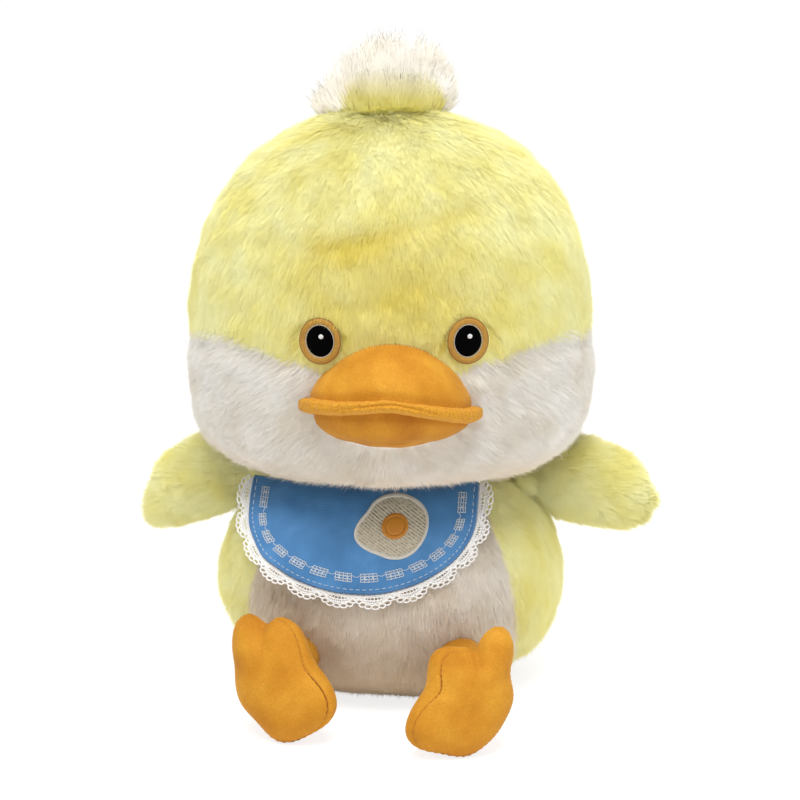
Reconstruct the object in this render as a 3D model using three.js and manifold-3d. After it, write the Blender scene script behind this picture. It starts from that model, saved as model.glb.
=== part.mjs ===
// A seated plush duck: a large bun-shaped head on a pear-shaped body, two wings, two webbed feet,
// a stuffed bill, a furry crest and a cloth bib with a lace edge.
// Millimetres, Z up. The face looks along -Y and the origin lies under the body, on the table.

import * as THREE from "three";
import { mergeVertices } from "three/addons/utils/BufferGeometryUtils.js";
import Module from "manifold-3d";

// Clearances and cloths
const gap = 0.3; // between two panels, and between a panel and what fills it
const ballGap = 0.5; // round the ball root of a wing or leg
const overrun = 6; // how far a cutting body runs past what it cuts
const plushThickness = 6; // fur and backing together
const minkyThickness = 2.4; // short smooth pile on the bill and feet
const threadHeight = 1.6; // padded satin stitch of the eyes

// Body
const bodyTurnDegrees = -5.5; // the body sits turned a little under the head
const bodyHalfWidth = 81.5;
const bodyHalfDepth = 73;
const bodyWaist = 48; // height of the widest ring
const bodyDrop = 59; // waist to where the round underside would end
const neckHeight = 103.5; // flat seat of the head
const neckCut = 8.5; // how much of the body's round top that seat takes off
const bodyRise = neckHeight + neckCut - bodyWaist; // waist to where the round top would end
const bodyTopSquareShare = 0.05;
const bodyBottomSquareShare = 0;
const bodySideSquareShare = 0.05;
const baseRadius = 40; // the round panel that the toy sits on
const bellyHalfWidth = 61; // white panel in front
const bellyMiddle = 34;
const bellyRise = 84;
const bellyDepthAtSeam = 6; // how far in front of the middle the white panel ends underneath

// Head, with its heights counted from its flat underside
const headHalfWidth = 93.5;
const headHalfDepth = 80;
const headWaist = 58.2;
const headRise = 106;
const headDrop = 58.5;
const headTopSquareShare = 0.22;
const headBottomSquareShare = 1;
const headSideSquareShare = 0.1;
const cheekSideHeight = 61.2; // seam of white and yellow fur at the side of the head
const cheekCrest = 68.2; // its highest point
const cheekCrestReach = 72; // how far out that point is
const cheekFrontHeight = 54.2; // its dip behind the bill
const cheekBackReach = 14; // how far behind the middle the white panel ends

// Crest of long pile on top
const crestHalfWidth = 32;
const crestHalfDepth = 15;
const crestRise = 29; // above the top of the head
const crestSink = 6; // how deep it starts in the head
const crestLean = 8; // how far its top stands to one side
const crestSide = -5; // its middle against the head's
const crestBack = 7;
const crestFaceHalfWidth = 24;
const crestFaceHalfDepth = 7;
const crestFaceRise = 16;
const crestFaceFront = 9.5;
const crestTopSquareShare = 0.35;
const crestSideSquareShare = 0.1;

// Eyes
const eyeSpread = 32.2;
const eyeSide = 1.4; // the middle of both eyes against the head's
const eyeHeight = 74.1;
const eyeRingHalfWidth = 9.2;
const eyeRingHalfHeight = 10.2;
const pupilHalfWidth = 5.8;
const pupilHalfHeight = 6.8;
const glintRadius = 1.1;
const glintSide = 0.5;
const glintRise = 1.9;

// Bill
const billTiltDegrees = 14;
const billRootDepth = 70; // in front of the head's middle
const billRootHeight = 42.7;
const billHalfWidth = 36;
const billReach = 37;
const billRise = 31;
const lipHalfWidth = 40.6;
const lipReach = 39;
const lipHalfThickness = 2.9;
const lipSquareShare = 0.5;
const lowerBillHalfWidth = 34;
const lowerBillReach = 25;
const lowerBillDrop = 18;

// Wings
const wingLength = 64.5; // shoulder to tip
const wingHalfHeight = 24;
const wingHalfThickness = 13;
const leftWingTipDrop = 18; // how far its tip hangs below the shoulder
const rightWingTipDrop = 8;
const wingArch = 4; // how far its middle line bows up
const leftWingSweepDegrees = 12; // swung back
const rightWingSweepDegrees = 0;
const shoulderReach = 61;
const shoulderBack = 3;
const leftShoulderHeight = 91;
const rightShoulderHeight = 92.5;
const shoulderBallRadius = 9.5;
const wingProfileShares = [
  [0, 0], [0.13, 0.3], [0.2, 0.48], [0.27, 0.69], [0.42, 0.96], [0.56, 1], [0.76, 0.91], [0.93, 0.58],
  [1, 0],
];

// Feet
const hipSpread = 37;
const hipReach = 61;
const hipHeight = 28;
const hipBallRadius = 12.5;
const ankleRadius = 11;
const leftFootSpread = 43;
const rightFootSpread = 45;
const leftFootReach = 92; // in front of the body's middle
const rightFootReach = 102;
const footHalfThickness = 11.5;
const footSink = 0.5; // the sole's edge is flattened this deep on the table
const footLeanDegrees = 15;
const footTurnDegrees = 17;
const footRadius = 21; // of its round middle, before the toes
const outerToeLength = 15;
const middleToeLength = 6.5;
const innerToeLength = 10;
const heelLength = 5.5;
const toeNotchDepth = 5.5;
const outerToeTurnDegrees = 52; // round from the foot's outer side
const middleToeTurnDegrees = 102;
const innerToeTurnDegrees = 208;
const heelTurnDegrees = 263;
const toeNotchTurnDegrees = 77;
const outerToeSpreadDegrees = 20; // how far round a toe reaches
const middleToeSpreadDegrees = 24;
const innerToeSpreadDegrees = 28;
const heelSpreadDegrees = 30;
const toeNotchSpreadDegrees = 8;

// Tail
const tailHalfWidth = 13;
const tailHalfThickness = 10;
const tailLength = 21;
const tailHeight = 30;
const tailTiltDegrees = 35;

// Pellet bag
const pelletBagHalfWidth = 44;
const pelletBagHalfDepth = 40;
const pelletBagHeight = 24;
const pelletBagSquareShare = 0.2;

// Bib
const clothThickness = 1.2;
const laceThickness = 0.8;
const patchThickness = 1;
const bibSide = -8.5; // its middle against the body's
const bibSewing = 0.7; // from the neck down to its top edge
const bibTop = neckHeight - bibSewing;
const bibStraight = 10.8; // length of its straight sides, with the round below
const bibRound = 30.5; // height of the round
const bibMiddle = bibTop - bibStraight;
const bibBottom = bibMiddle - bibRound;
const bibHalfWidth = 51.8;
const bibCurveRadius = 135; // how round it hangs, seen from above
const bibStandOff = 2.8; // in front of the fur
const laceWidth = 6.9;
const laceRoot = 1.6; // narrow strip along the cloth's edge
const laceScallopCount = 12;
const laceHoleRadius = 0.85;
const laceHoleSides = 5;
const patchHalfWidth = 15.5;
const patchHalfHeight = 12;
const patchSide = 14.5; // from the bib's middle
const patchDrop = 14.8; // from the bib's top edge
const yolkRadius = 6;
const yolkSide = 1.5; // from the patch's middle
const yolkRise = 0.5;
const yolkThickness = 1.5;

const wasm = await Module();
wasm.setup();

const cloths = {
  yellowPlush: new THREE.MeshStandardMaterial({ color: "#f3f0a0", roughness: 0.95, metalness: 0 }),
  whitePlush: new THREE.MeshStandardMaterial({ color: "#f1efec", roughness: 0.95, metalness: 0 }),
  orangeMinky: new THREE.MeshStandardMaterial({ color: "#f0a236", roughness: 0.8, metalness: 0 }),
  blueCotton: new THREE.MeshStandardMaterial({ color: "#4a8ed0", roughness: 0.85, metalness: 0 }),
  whiteLace: new THREE.MeshStandardMaterial({ color: "#f4f3f0", roughness: 0.8, metalness: 0 }),
  creamThread: new THREE.MeshStandardMaterial({ color: "#e0dacb", roughness: 0.6, metalness: 0 }),
  amberThread: new THREE.MeshStandardMaterial({ color: "#e0a13a", roughness: 0.5, metalness: 0 }),
  blackThread: new THREE.MeshStandardMaterial({ color: "#0c0c0c", roughness: 0.4, metalness: 0 }),
  whiteThread: new THREE.MeshStandardMaterial({ color: "#f7f7f4", roughness: 0.5, metalness: 0 }),
  fibreFill: new THREE.MeshStandardMaterial({ color: "#f5f5f5", roughness: 1, metalness: 0 }),
  pelletBagCloth: new THREE.MeshStandardMaterial({ color: "#dcd8cc", roughness: 0.9, metalness: 0 }),
};

// A closed geometry as a solid for cutting and joining.
function solidOf(geometry) {
  const bare = geometry.clone();
  bare.deleteAttribute("normal");
  bare.deleteAttribute("uv");
  const merged = mergeVertices(bare);
  const vertProperties = new Float32Array(merged.attributes.position.array);
  const triVerts = new Uint32Array(merged.index.array);
  return new wasm.Manifold(new wasm.Mesh({ numProp: 3, vertProperties, triVerts }));
}

function geometryOf(solid) {
  const mesh = solid.getMesh();
  const geometry = new THREE.BufferGeometry();
  const points = [];
  for (let vertex = 0; vertex < mesh.numVert; vertex++) {
    const start = vertex * mesh.numProp;
    points.push(...mesh.vertProperties.subarray(start, start + 3));
  }
  geometry.setAttribute("position", new THREE.Float32BufferAttribute(points, 3));
  geometry.setIndex(Array.from(mesh.triVerts));
  geometry.computeVertexNormals();
  return geometry;
}

// Puts a named piece in its group.
function addPiece(group, name, solid, material) {
  const mesh = new THREE.Mesh(geometryOf(solid), material);
  mesh.name = name;
  group.add(mesh);
}

// A closed skin over rings of points that run anticlockwise, with one point at each end.
function skinOver(start, rings, end) {
  const sides = rings[0].length;
  const points = [start, ...rings.flat(), end];
  const faces = [];
  const last = 1 + (rings.length - 1) * sides;
  for (let side = 0; side < sides; side++) {
    const next = (side + 1) % sides;
    faces.push(0, 1 + next, 1 + side);
    for (let ring = 0; ring < rings.length - 1; ring++) {
      const low = 1 + ring * sides;
      const high = low + sides;
      faces.push(low + side, low + next, high + next);
      faces.push(low + side, high + next, high + side);
    }
    faces.push(last + side, last + next, points.length - 1);
  }
  const geometry = new THREE.BufferGeometry().setFromPoints(points);
  geometry.setIndex(faces);
  return geometry;
}

// A share of 0 bends as an ellipse does, and 1 is squarer, with tighter corners.
const exponentOf = (squareShare) => 2 + 2 * squareShare;
const signedPower = (value, power) => Math.sign(value) * Math.abs(value) ** power;

// How far a plump form has swollen at a height, from 0 at its end to 1 at its waist.
function swellAt(form, height) {
  const rise = height > form.waist;
  const power = exponentOf(rise ? form.topSquareShare : form.bottomSquareShare);
  const away = Math.abs(height - form.waist) / (rise ? form.rise : form.drop);
  return Math.max(0, 1 - away ** power) ** (1 / power);
}

// A stuffed form: it swells to its half width and half depth at the waist and may be flat at
// its floor and ceiling. Grow moves the whole skin out, or in when it is negative.
function plumpForm(form, grow, ringCount, sideCount) {
  const grown = { ...form, rise: form.rise + grow, drop: form.drop + grow };
  const floor = Math.max(form.floor - grow, form.waist - grown.drop);
  const ceiling = Math.min(form.ceiling + grow, form.waist + grown.rise);
  const angleAt = (height) => {
    const rise = height > form.waist;
    const power = exponentOf(rise ? form.topSquareShare : form.bottomSquareShare);
    const away = Math.abs(height - form.waist) / (rise ? grown.rise : grown.drop);
    return (rise ? 1 : -1) * Math.asin(Math.min(1, away ** (power / 2)));
  };
  const low = angleAt(floor);
  const high = angleAt(ceiling);
  const cornerPower = 2 / exponentOf(form.sideSquareShare);
  const rings = [];
  for (let ring = 0; ring <= ringCount; ring++) {
    const angle = low + ((high - low) * ring) / ringCount;
    const power = exponentOf(angle > 0 ? form.topSquareShare : form.bottomSquareShare);
    const reach = angle > 0 ? grown.rise : grown.drop;
    const height = form.waist + reach * signedPower(Math.sin(angle), 2 / power);
    const swell = Math.max(0, Math.cos(angle)) ** (2 / power);
    if (swell < 1e-4) continue;
    const points = [];
    for (let side = 0; side < sideCount; side++) {
      const turn = (2 * Math.PI * side) / sideCount;
      const x = (form.halfWidth + grow) * swell * signedPower(Math.cos(turn), cornerPower);
      const y = (form.halfDepth + grow) * swell * signedPower(Math.sin(turn), cornerPower);
      points.push(new THREE.Vector3(x, y, height));
    }
    rings.push(points);
  }
  return skinOver(new THREE.Vector3(0, 0, floor), rings, new THREE.Vector3(0, 0, ceiling));
}

const radians = THREE.MathUtils.degToRad;

// A flat outline in the XZ plane, made thick along Y from one depth to another.
function standingCut(shape, fromY, toY, curveSegments = 12) {
  const depth = toY - fromY;
  const geometry = new THREE.ExtrudeGeometry(shape, { depth, bevelEnabled: false, curveSegments });
  geometry.rotateX(Math.PI / 2);
  geometry.translate(0, toY, 0);
  return solidOf(geometry);
}

function ellipseShape(centreX, centreZ, halfWidth, halfHeight) {
  const shape = new THREE.Shape();
  shape.absellipse(centreX, centreZ, halfWidth, halfHeight, 0, 2 * Math.PI);
  return shape;
}

function ball(radius, centre, sides = 14) {
  const geometry = new THREE.SphereGeometry(radius, sides, sides / 2);
  geometry.translate(centre.x, centre.y, centre.z);
  return solidOf(geometry);
}

// The head, in a group of its own at the neck
const head = new THREE.Group();
head.position.z = neckHeight + gap;

const headForm = {
  halfWidth: headHalfWidth,
  halfDepth: headHalfDepth,
  waist: headWaist,
  rise: headRise,
  drop: headDrop,
  topSquareShare: headTopSquareShare,
  bottomSquareShare: headBottomSquareShare,
  sideSquareShare: headSideSquareShare,
  floor: 0,
  ceiling: Infinity,
};
const headOuter = solidOf(plumpForm(headForm, 0, 16, 32));
const headGrown = solidOf(plumpForm(headForm, gap, 16, 32));
const headInner = solidOf(plumpForm(headForm, -plushThickness, 9, 20));

// The outline under the seam of white and yellow fur, seen from the front.
function cheekShape(lift) {
  const side = headHalfWidth + overrun;
  const sideHeight = cheekSideHeight + lift;
  const crest = cheekCrest + lift;
  const dip = cheekFrontHeight + lift;
  const between = (side + cheekCrestReach) / 2;
  const bend = cheekCrestReach / 2;
  const shape = new THREE.Shape();
  shape.moveTo(-side, -overrun);
  shape.lineTo(side, -overrun);
  shape.lineTo(side, sideHeight);
  shape.quadraticCurveTo(between, crest, cheekCrestReach, crest);
  shape.bezierCurveTo(bend, crest, bend, dip, 0, dip);
  shape.bezierCurveTo(-bend, dip, -bend, crest, -cheekCrestReach, crest);
  shape.quadraticCurveTo(-between, crest, -side, sideHeight);
  shape.closePath();
  return shape;
}

// Where the surface of the head lies at a place of its front, and which way it faces there.
function headFront(x, z) {
  const power = exponentOf(headSideSquareShare);
  const swell = swellAt(headForm, z);
  const across = Math.abs(x) / (headHalfWidth * swell);
  const y = -headHalfDepth * swell * (1 - across ** power) ** (1 / power);
  const slopeX = (Math.sign(x) * Math.abs(x) ** (power - 1)) / headHalfWidth ** power;
  const slopeY = -(Math.abs(y) ** (power - 1)) / headHalfDepth ** power;
  return { point: new THREE.Vector3(x, y, z), facing: new THREE.Vector3(slopeX, slopeY, 0).normalize() };
}

// An upright oval disc sunk in the face at one eye. Depths count outwards from the fur.
function eyeDisc(side, shape, fromDepth, toDepth) {
  const { point, facing } = headFront(side * eyeSpread + eyeSide, eyeHeight);
  const geometry = new THREE.ExtrudeGeometry(shape, {
    depth: toDepth - fromDepth,
    bevelEnabled: false,
    curveSegments: 8,
  });
  geometry.translate(0, 0, fromDepth);
  geometry.rotateX(Math.PI / 2);
  geometry.rotateZ(Math.atan2(facing.x, -facing.y));
  geometry.translate(point.x, point.y, point.z);
  return solidOf(geometry);
}

function addEye(side, word) {
  const ringShape = ellipseShape(0, 0, eyeRingHalfWidth, eyeRingHalfHeight);
  ringShape.holes.push(ellipseShape(0, 0, pupilHalfWidth + gap, pupilHalfHeight + gap));
  const pupilShape = ellipseShape(0, 0, pupilHalfWidth, pupilHalfHeight);
  pupilShape.holes.push(ellipseShape(glintSide, glintRise, glintRadius + gap, glintRadius + gap));
  const glintShape = ellipseShape(glintSide, glintRise, glintRadius, glintRadius);
  const proud = threadHeight / 2;
  const ring = eyeDisc(side, ringShape, -threadHeight, 0);
  const pupil = eyeDisc(side, pupilShape, -threadHeight, proud / 2);
  const glint = eyeDisc(side, glintShape, -threadHeight, proud);
  addPiece(head, "eye_ring_" + word, ring, cloths.amberThread);
  addPiece(head, "eye_pupil_" + word, pupil, cloths.blackThread);
  addPiece(head, "eye_glint_" + word, glint, cloths.whiteThread);
}

// The sunk places of both eyes in the yellow fur.
function eyePockets() {
  const shape = ellipseShape(0, 0, eyeRingHalfWidth + gap, eyeRingHalfHeight + gap);
  const depth = -threadHeight - gap;
  return eyeDisc(-1, shape, depth, overrun).add(eyeDisc(1, shape, depth, overrun));
}

// A lobe of the bill: a plump form in the plane of the mouth, tipped up and sunk in the face.
function billLobe(form, grow, floor, ceiling, sides = 28) {
  const lobe = { waist: 0, topSquareShare: 0, bottomSquareShare: 0, sideSquareShare: 0, ...form };
  const geometry = plumpForm({ ...lobe, floor, ceiling }, grow, 8, sides);
  geometry.rotateX(radians(-billTiltDegrees));
  geometry.translate(0, -billRootDepth, billRootHeight);
  return solidOf(geometry);
}

function addBill() {
  const dome = {
    halfWidth: billHalfWidth,
    halfDepth: billReach,
    rise: billRise,
    drop: billRise,
  };
  const lip = {
    halfWidth: lipHalfWidth,
    halfDepth: lipReach,
    rise: lipHalfThickness,
    drop: lipHalfThickness,
    topSquareShare: lipSquareShare,
    bottomSquareShare: lipSquareShare,
  };
  const bowl = {
    halfWidth: lowerBillHalfWidth,
    halfDepth: lowerBillReach,
    rise: lowerBillDrop,
    drop: lowerBillDrop,
  };
  const seat = lipHalfThickness + gap;
  const domeOuter = billLobe(dome, 0, seat, Infinity).subtract(headGrown);
  const domeInner = billLobe(dome, -minkyThickness, seat - overrun, Infinity, 20);
  const fillingForm = billLobe(dome, -minkyThickness - gap, seat - minkyThickness, Infinity, 20);
  const lipPlate = billLobe(lip, 0, -Infinity, Infinity).subtract(headGrown);
  const bowlOuter = billLobe(bowl, 0, -Infinity, -seat).subtract(headGrown);
  addPiece(head, "bill_upper", domeOuter.subtract(domeInner), cloths.orangeMinky);
  addPiece(head, "bill_filling", fillingForm.subtract(headGrown), cloths.fibreFill);
  addPiece(head, "bill_lip", lipPlate, cloths.orangeMinky);
  addPiece(head, "bill_lower", bowlOuter, cloths.orangeMinky);
}

// A dome of the crest, leaning to one side as it rises. Place says where it stands.
function crestDome(halfWidth, halfDepth, place, grow) {
  const height = place.rise + crestSink;
  const form = {
    halfWidth,
    halfDepth,
    waist: 0,
    rise: height,
    drop: height,
    topSquareShare: crestTopSquareShare,
    bottomSquareShare: 0,
    sideSquareShare: crestSideSquareShare,
    floor: -height / 2,
    ceiling: Infinity,
  };
  const geometry = plumpForm(form, grow, 7, 16);
  geometry.applyMatrix4(new THREE.Matrix4().makeShear(0, 0, 0, 0, place.lean / height, 0));
  geometry.translate(place.side, place.back, headWaist + headRise - crestSink);
  return solidOf(geometry);
}

function addCrest() {
  const facePlace = { rise: crestFaceRise, side: 0, back: crestFaceHalfDepth - crestFaceFront, lean: 0 };
  const backPlace = { rise: crestRise, side: crestSide, back: crestBack, lean: crestLean };
  const face = crestDome(crestFaceHalfWidth, crestFaceHalfDepth, facePlace, 0);
  const faceGrown = crestDome(crestFaceHalfWidth, crestFaceHalfDepth, facePlace, gap);
  const back = crestDome(crestHalfWidth, crestHalfDepth, backPlace, 0);
  addPiece(head, "crest_front", face.subtract(headGrown), cloths.yellowPlush);
  addPiece(head, "crest_back", back.subtract(headGrown).subtract(faceGrown), cloths.whitePlush);
}

function addHead() {
  const shell = headOuter.subtract(headInner);
  const front = -headHalfDepth - overrun;
  const cheeks = standingCut(cheekShape(0), front, cheekBackReach, 8);
  const cheeksGrown = standingCut(cheekShape(gap), front, cheekBackReach + gap, 8);
  const filling = solidOf(plumpForm(headForm, -plushThickness - gap, 9, 20));
  addPiece(head, "head_crown", shell.subtract(cheeksGrown).subtract(eyePockets()), cloths.yellowPlush);
  addPiece(head, "head_cheeks", shell.intersect(cheeks), cloths.whitePlush);
  addPiece(head, "head_filling", filling, cloths.fibreFill);
  addCrest();
  addEye(-1, "left");
  addEye(1, "right");
  addBill();
}

// The body, with its limbs and bib, in a group that is turned a little under the head
const body = new THREE.Group();
body.rotation.z = radians(bodyTurnDegrees);

const bodyForm = {
  halfWidth: bodyHalfWidth,
  halfDepth: bodyHalfDepth,
  waist: bodyWaist,
  rise: bodyRise,
  drop: bodyDrop,
  topSquareShare: bodyTopSquareShare,
  bottomSquareShare: bodyBottomSquareShare,
  sideSquareShare: bodySideSquareShare,
  floor: 0,
  ceiling: neckHeight,
};
const shoulderAt = (side) =>
  new THREE.Vector3(side * shoulderReach, shoulderBack, side > 0 ? rightShoulderHeight : leftShoulderHeight);
const hipAt = (side) => new THREE.Vector3(side * hipSpread, -hipReach, hipHeight);

// The round hollows in the body for the roots of the four limbs.
function limbSockets() {
  const shoulder = (side) => ball(shoulderBallRadius + ballGap, shoulderAt(side));
  const hip = (side) => ball(hipBallRadius + ballGap, hipAt(side));
  return shoulder(-1).add(shoulder(1)).add(hip(-1)).add(hip(1));
}

function addBody() {
  const sockets = limbSockets();
  const outer = solidOf(plumpForm(bodyForm, 0, 14, 32)).subtract(sockets);
  const inner = solidOf(plumpForm(bodyForm, -plushThickness, 9, 20));
  const shell = outer.subtract(inner);
  const front = -bodyHalfDepth - overrun;
  const bellyOval = (grow) => ellipseShape(0, bellyMiddle, bellyHalfWidth + grow, bellyRise + grow);
  const belly = standingCut(bellyOval(0), front, -bellyDepthAtSeam, 16);
  const bellyGrown = standingCut(bellyOval(gap), front, -bellyDepthAtSeam + gap, 16);
  const basePlug = (grow) => {
    const radius = baseRadius + grow;
    const geometry = new THREE.CylinderGeometry(radius, radius, 2 * (plushThickness + overrun), 32);
    return solidOf(geometry.rotateX(Math.PI / 2));
  };
  const bagForm = {
    halfWidth: pelletBagHalfWidth,
    halfDepth: pelletBagHalfDepth,
    waist: plushThickness + pelletBagHeight / 2,
    rise: pelletBagHeight / 2,
    drop: pelletBagHeight,
    topSquareShare: pelletBagSquareShare,
    bottomSquareShare: pelletBagSquareShare,
    sideSquareShare: 0,
    floor: plushThickness + gap,
    ceiling: Infinity,
  };
  const bag = solidOf(plumpForm(bagForm, 0, 6, 24));
  const bagRoom = solidOf(plumpForm(bagForm, gap, 6, 24));
  const cavity = solidOf(plumpForm(bodyForm, -plushThickness - gap, 9, 20));
  const filling = cavity.subtract(bagRoom).subtract(sockets);
  addPiece(body, "body_back", shell.subtract(bellyGrown).subtract(basePlug(gap)), cloths.yellowPlush);
  addPiece(body, "body_belly", shell.intersect(belly).subtract(basePlug(gap)), cloths.whitePlush);
  addPiece(body, "body_base", shell.intersect(basePlug(0)), cloths.yellowPlush);
  addPiece(body, "body_filling", filling, cloths.fibreFill);
  addPiece(body, "pellet_bag", bag, cloths.pelletBagCloth);
}

function addTail() {
  const form = {
    halfWidth: tailHalfWidth,
    halfDepth: tailHalfThickness,
    waist: 0,
    rise: tailLength,
    drop: tailLength,
    topSquareShare: 0,
    bottomSquareShare: 0,
    sideSquareShare: 0,
    floor: -tailLength / 2,
    ceiling: Infinity,
  };
  const geometry = plumpForm(form, 0, 6, 14);
  geometry.rotateX(radians(tailTiltDegrees) - Math.PI / 2);
  geometry.translate(0, bodyHalfDepth * swellAt(bodyForm, tailHeight), tailHeight);
  const grown = solidOf(plumpForm(bodyForm, gap, 14, 32));
  addPiece(body, "tail", solidOf(geometry).subtract(grown), cloths.yellowPlush);
}

// A wing lies along +X from the shoulder and is the same in front and behind.
function wingForm(tipDrop, grow, ringCount, sideCount) {
  const profile = new THREE.SplineCurve(wingProfileShares.map((shares) => new THREE.Vector2(...shares)));
  const length = wingLength + grow;
  const rings = [];
  for (let ring = 1; ring < ringCount; ring++) {
    const { x: along, y: swell } = profile.getPointAt(ring / ringCount);
    const middle = wingArch * Math.sin(Math.PI * along) - tipDrop * along ** 2;
    const points = [];
    for (let side = 0; side < sideCount; side++) {
      const turn = (2 * Math.PI * side) / sideCount;
      const y = (wingHalfThickness + grow) * swell * Math.cos(turn);
      const z = (wingHalfHeight + grow) * swell * Math.sin(turn) + middle;
      points.push(new THREE.Vector3(length * along, y, z));
    }
    rings.push(points);
  }
  return skinOver(new THREE.Vector3(), rings, new THREE.Vector3(length, 0, -tipDrop));
}

function addWing(side, word, tipDrop, sweepDegrees) {
  const place = (geometry) => {
    geometry.rotateZ(side > 0 ? radians(sweepDegrees) : Math.PI - radians(sweepDegrees));
    geometry.translate(...shoulderAt(side).toArray());
    return solidOf(geometry);
  };
  const halfSpace = (fromY) => {
    const reach = wingLength + 2 * shoulderBallRadius + overrun;
    const box = new THREE.BoxGeometry(2 * reach, reach, 2 * reach);
    box.translate(0, fromY + (reach / 2) * Math.sign(fromY), 0);
    return place(box);
  };
  const root = ball(shoulderBallRadius, shoulderAt(side));
  const outer = place(wingForm(tipDrop, 0, 11, 16)).add(root);
  const shell = outer.subtract(place(wingForm(tipDrop, -plushThickness, 7, 10)));
  const filling = place(wingForm(tipDrop, -plushThickness - gap, 7, 10));
  const frontHalf = side > 0 ? -gap / 2 : gap / 2;
  addPiece(body, "wing_" + word + "_front", shell.intersect(halfSpace(frontHalf)), cloths.yellowPlush);
  addPiece(body, "wing_" + word + "_back", shell.intersect(halfSpace(-frontHalf)), cloths.yellowPlush);
  addPiece(body, "wing_" + word + "_filling", filling, cloths.fibreFill);
}

// How far the edge of a foot is from its middle: a round pad with toes and a notch between two.
function footEdge(angle, grow) {
  const lobe = (length, middleDegrees, spreadDegrees) => {
    const turn = angle - radians(middleDegrees);
    const away = Math.atan2(Math.sin(turn), Math.cos(turn));
    return length * Math.exp(-((away / radians(spreadDegrees)) ** 2));
  };
  const outer = lobe(outerToeLength, outerToeTurnDegrees, outerToeSpreadDegrees);
  const middle = lobe(middleToeLength, middleToeTurnDegrees, middleToeSpreadDegrees);
  const inner = lobe(innerToeLength, innerToeTurnDegrees, innerToeSpreadDegrees);
  const heel = lobe(heelLength, heelTurnDegrees, heelSpreadDegrees);
  const notch = lobe(toeNotchDepth, toeNotchTurnDegrees, toeNotchSpreadDegrees);
  return footRadius + grow + outer + middle + inner + heel - notch;
}

// A puffed foot with its sole towards +Z and its toes towards +Y; its outer side is towards side.
function footForm(side, grow, ringCount, sideCount) {
  const rings = [];
  for (let ring = 1; ring < ringCount; ring++) {
    const tilt = -Math.PI / 2 + (Math.PI * ring) / ringCount;
    const points = [];
    for (let step = 0; step < sideCount; step++) {
      const turn = (2 * Math.PI * step) / sideCount;
      const reach = footEdge(side > 0 ? turn : Math.PI - turn, grow) * Math.cos(tilt) ** 0.75;
      const rise = (footHalfThickness + grow) * Math.sin(tilt);
      points.push(new THREE.Vector3(reach * Math.cos(turn), reach * Math.sin(turn), rise));
    }
    rings.push(points);
  }
  const end = footHalfThickness + grow;
  return skinOver(new THREE.Vector3(0, 0, -end), rings, new THREE.Vector3(0, 0, end));
}

function addFoot(side, word, spread, reach) {
  const turnX = Math.PI / 2 - radians(footLeanDegrees);
  const turnZ = side * radians(footTurnDegrees);
  const tilted = (geometry) => geometry.rotateX(turnX).rotateZ(turnZ);
  const whole = tilted(footForm(side, 0, 8, 30));
  whole.computeBoundingBox();
  const centre = new THREE.Vector3(side * spread, -reach, -whole.boundingBox.min.z - footSink);
  const place = (geometry) => solidOf(tilted(geometry).translate(centre.x, centre.y, centre.z));
  const halfSpace = (fromZ) => {
    const far = 3 * footRadius + overrun;
    const box = new THREE.BoxGeometry(2 * far, 2 * far, far);
    return place(box.translate(0, 0, fromZ + (far / 2) * Math.sign(fromZ)));
  };
  const table = new THREE.BoxGeometry(8 * footRadius, 8 * footRadius, overrun);
  table.translate(centre.x, centre.y, -overrun / 2);
  const hip = hipAt(side);
  const towards = new THREE.Vector3().subVectors(centre, hip);
  const leg = new THREE.CylinderGeometry(ankleRadius, ankleRadius, towards.length(), 12, 1);
  const up = new THREE.Vector3(0, 1, 0);
  leg.applyQuaternion(new THREE.Quaternion().setFromUnitVectors(up, towards.clone().normalize()));
  leg.translate(...hip.clone().addScaledVector(towards, 0.5).toArray());
  const footRoom = place(footForm(side, gap, 8, 30));
  const legWhole = solidOf(leg).add(ball(hipBallRadius, hip)).subtract(footRoom);
  const inside = place(footForm(side, -minkyThickness, 6, 20));
  const pad = solidOf(whole.translate(centre.x, centre.y, centre.z)).subtract(solidOf(table));
  const shell = pad.subtract(inside);
  const filling = place(footForm(side, -minkyThickness - gap, 6, 20));
  addPiece(body, "leg_" + word, legWhole, cloths.orangeMinky);
  addPiece(body, "foot_" + word + "_upper", shell.intersect(halfSpace(-gap / 2)), cloths.orangeMinky);
  addPiece(body, "foot_" + word + "_sole", shell.intersect(halfSpace(gap / 2)), cloths.orangeMinky);
  addPiece(body, "foot_" + word + "_filling", filling, cloths.fibreFill);
}

// How far in front of the body's middle the back of the bib lies.
function bibReach(x, z) {
  const across = x - bibSide;
  const roundness = bibCurveRadius - Math.sqrt(bibCurveRadius ** 2 - across ** 2);
  return bodyHalfDepth * swellAt(bodyForm, z) + bibStandOff - roundness;
}

// A thick hanging sheet from one depth to another in front of the bib's back.
function hangingSheet(fromDepth, toDepth, columns, rows) {
  const halfWidth = bibHalfWidth + laceWidth + overrun;
  const bottom = bibBottom - laceWidth - overrun;
  const rings = [];
  for (let column = 0; column <= columns; column++) {
    const x = bibSide - halfWidth + (2 * halfWidth * column) / columns;
    const ring = [];
    for (let row = 0; row <= rows; row++) {
      const z = bottom + ((bibTop - bottom) * row) / rows;
      ring.push(new THREE.Vector3(x, -bibReach(x, z) - fromDepth, z));
    }
    for (let row = rows; row >= 0; row--) {
      const z = bottom + ((bibTop - bottom) * row) / rows;
      ring.push(new THREE.Vector3(x, -bibReach(x, z) - toDepth, z));
    }
    rings.push(ring);
  }
  const middleOf = (ring) => {
    const middle = ring[rows >> 1].clone();
    return middle.lerp(ring[2 * rows + 1 - (rows >> 1)], 0.5);
  };
  return solidOf(skinOver(middleOf(rings[0]), rings, middleOf(rings[columns])));
}

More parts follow.
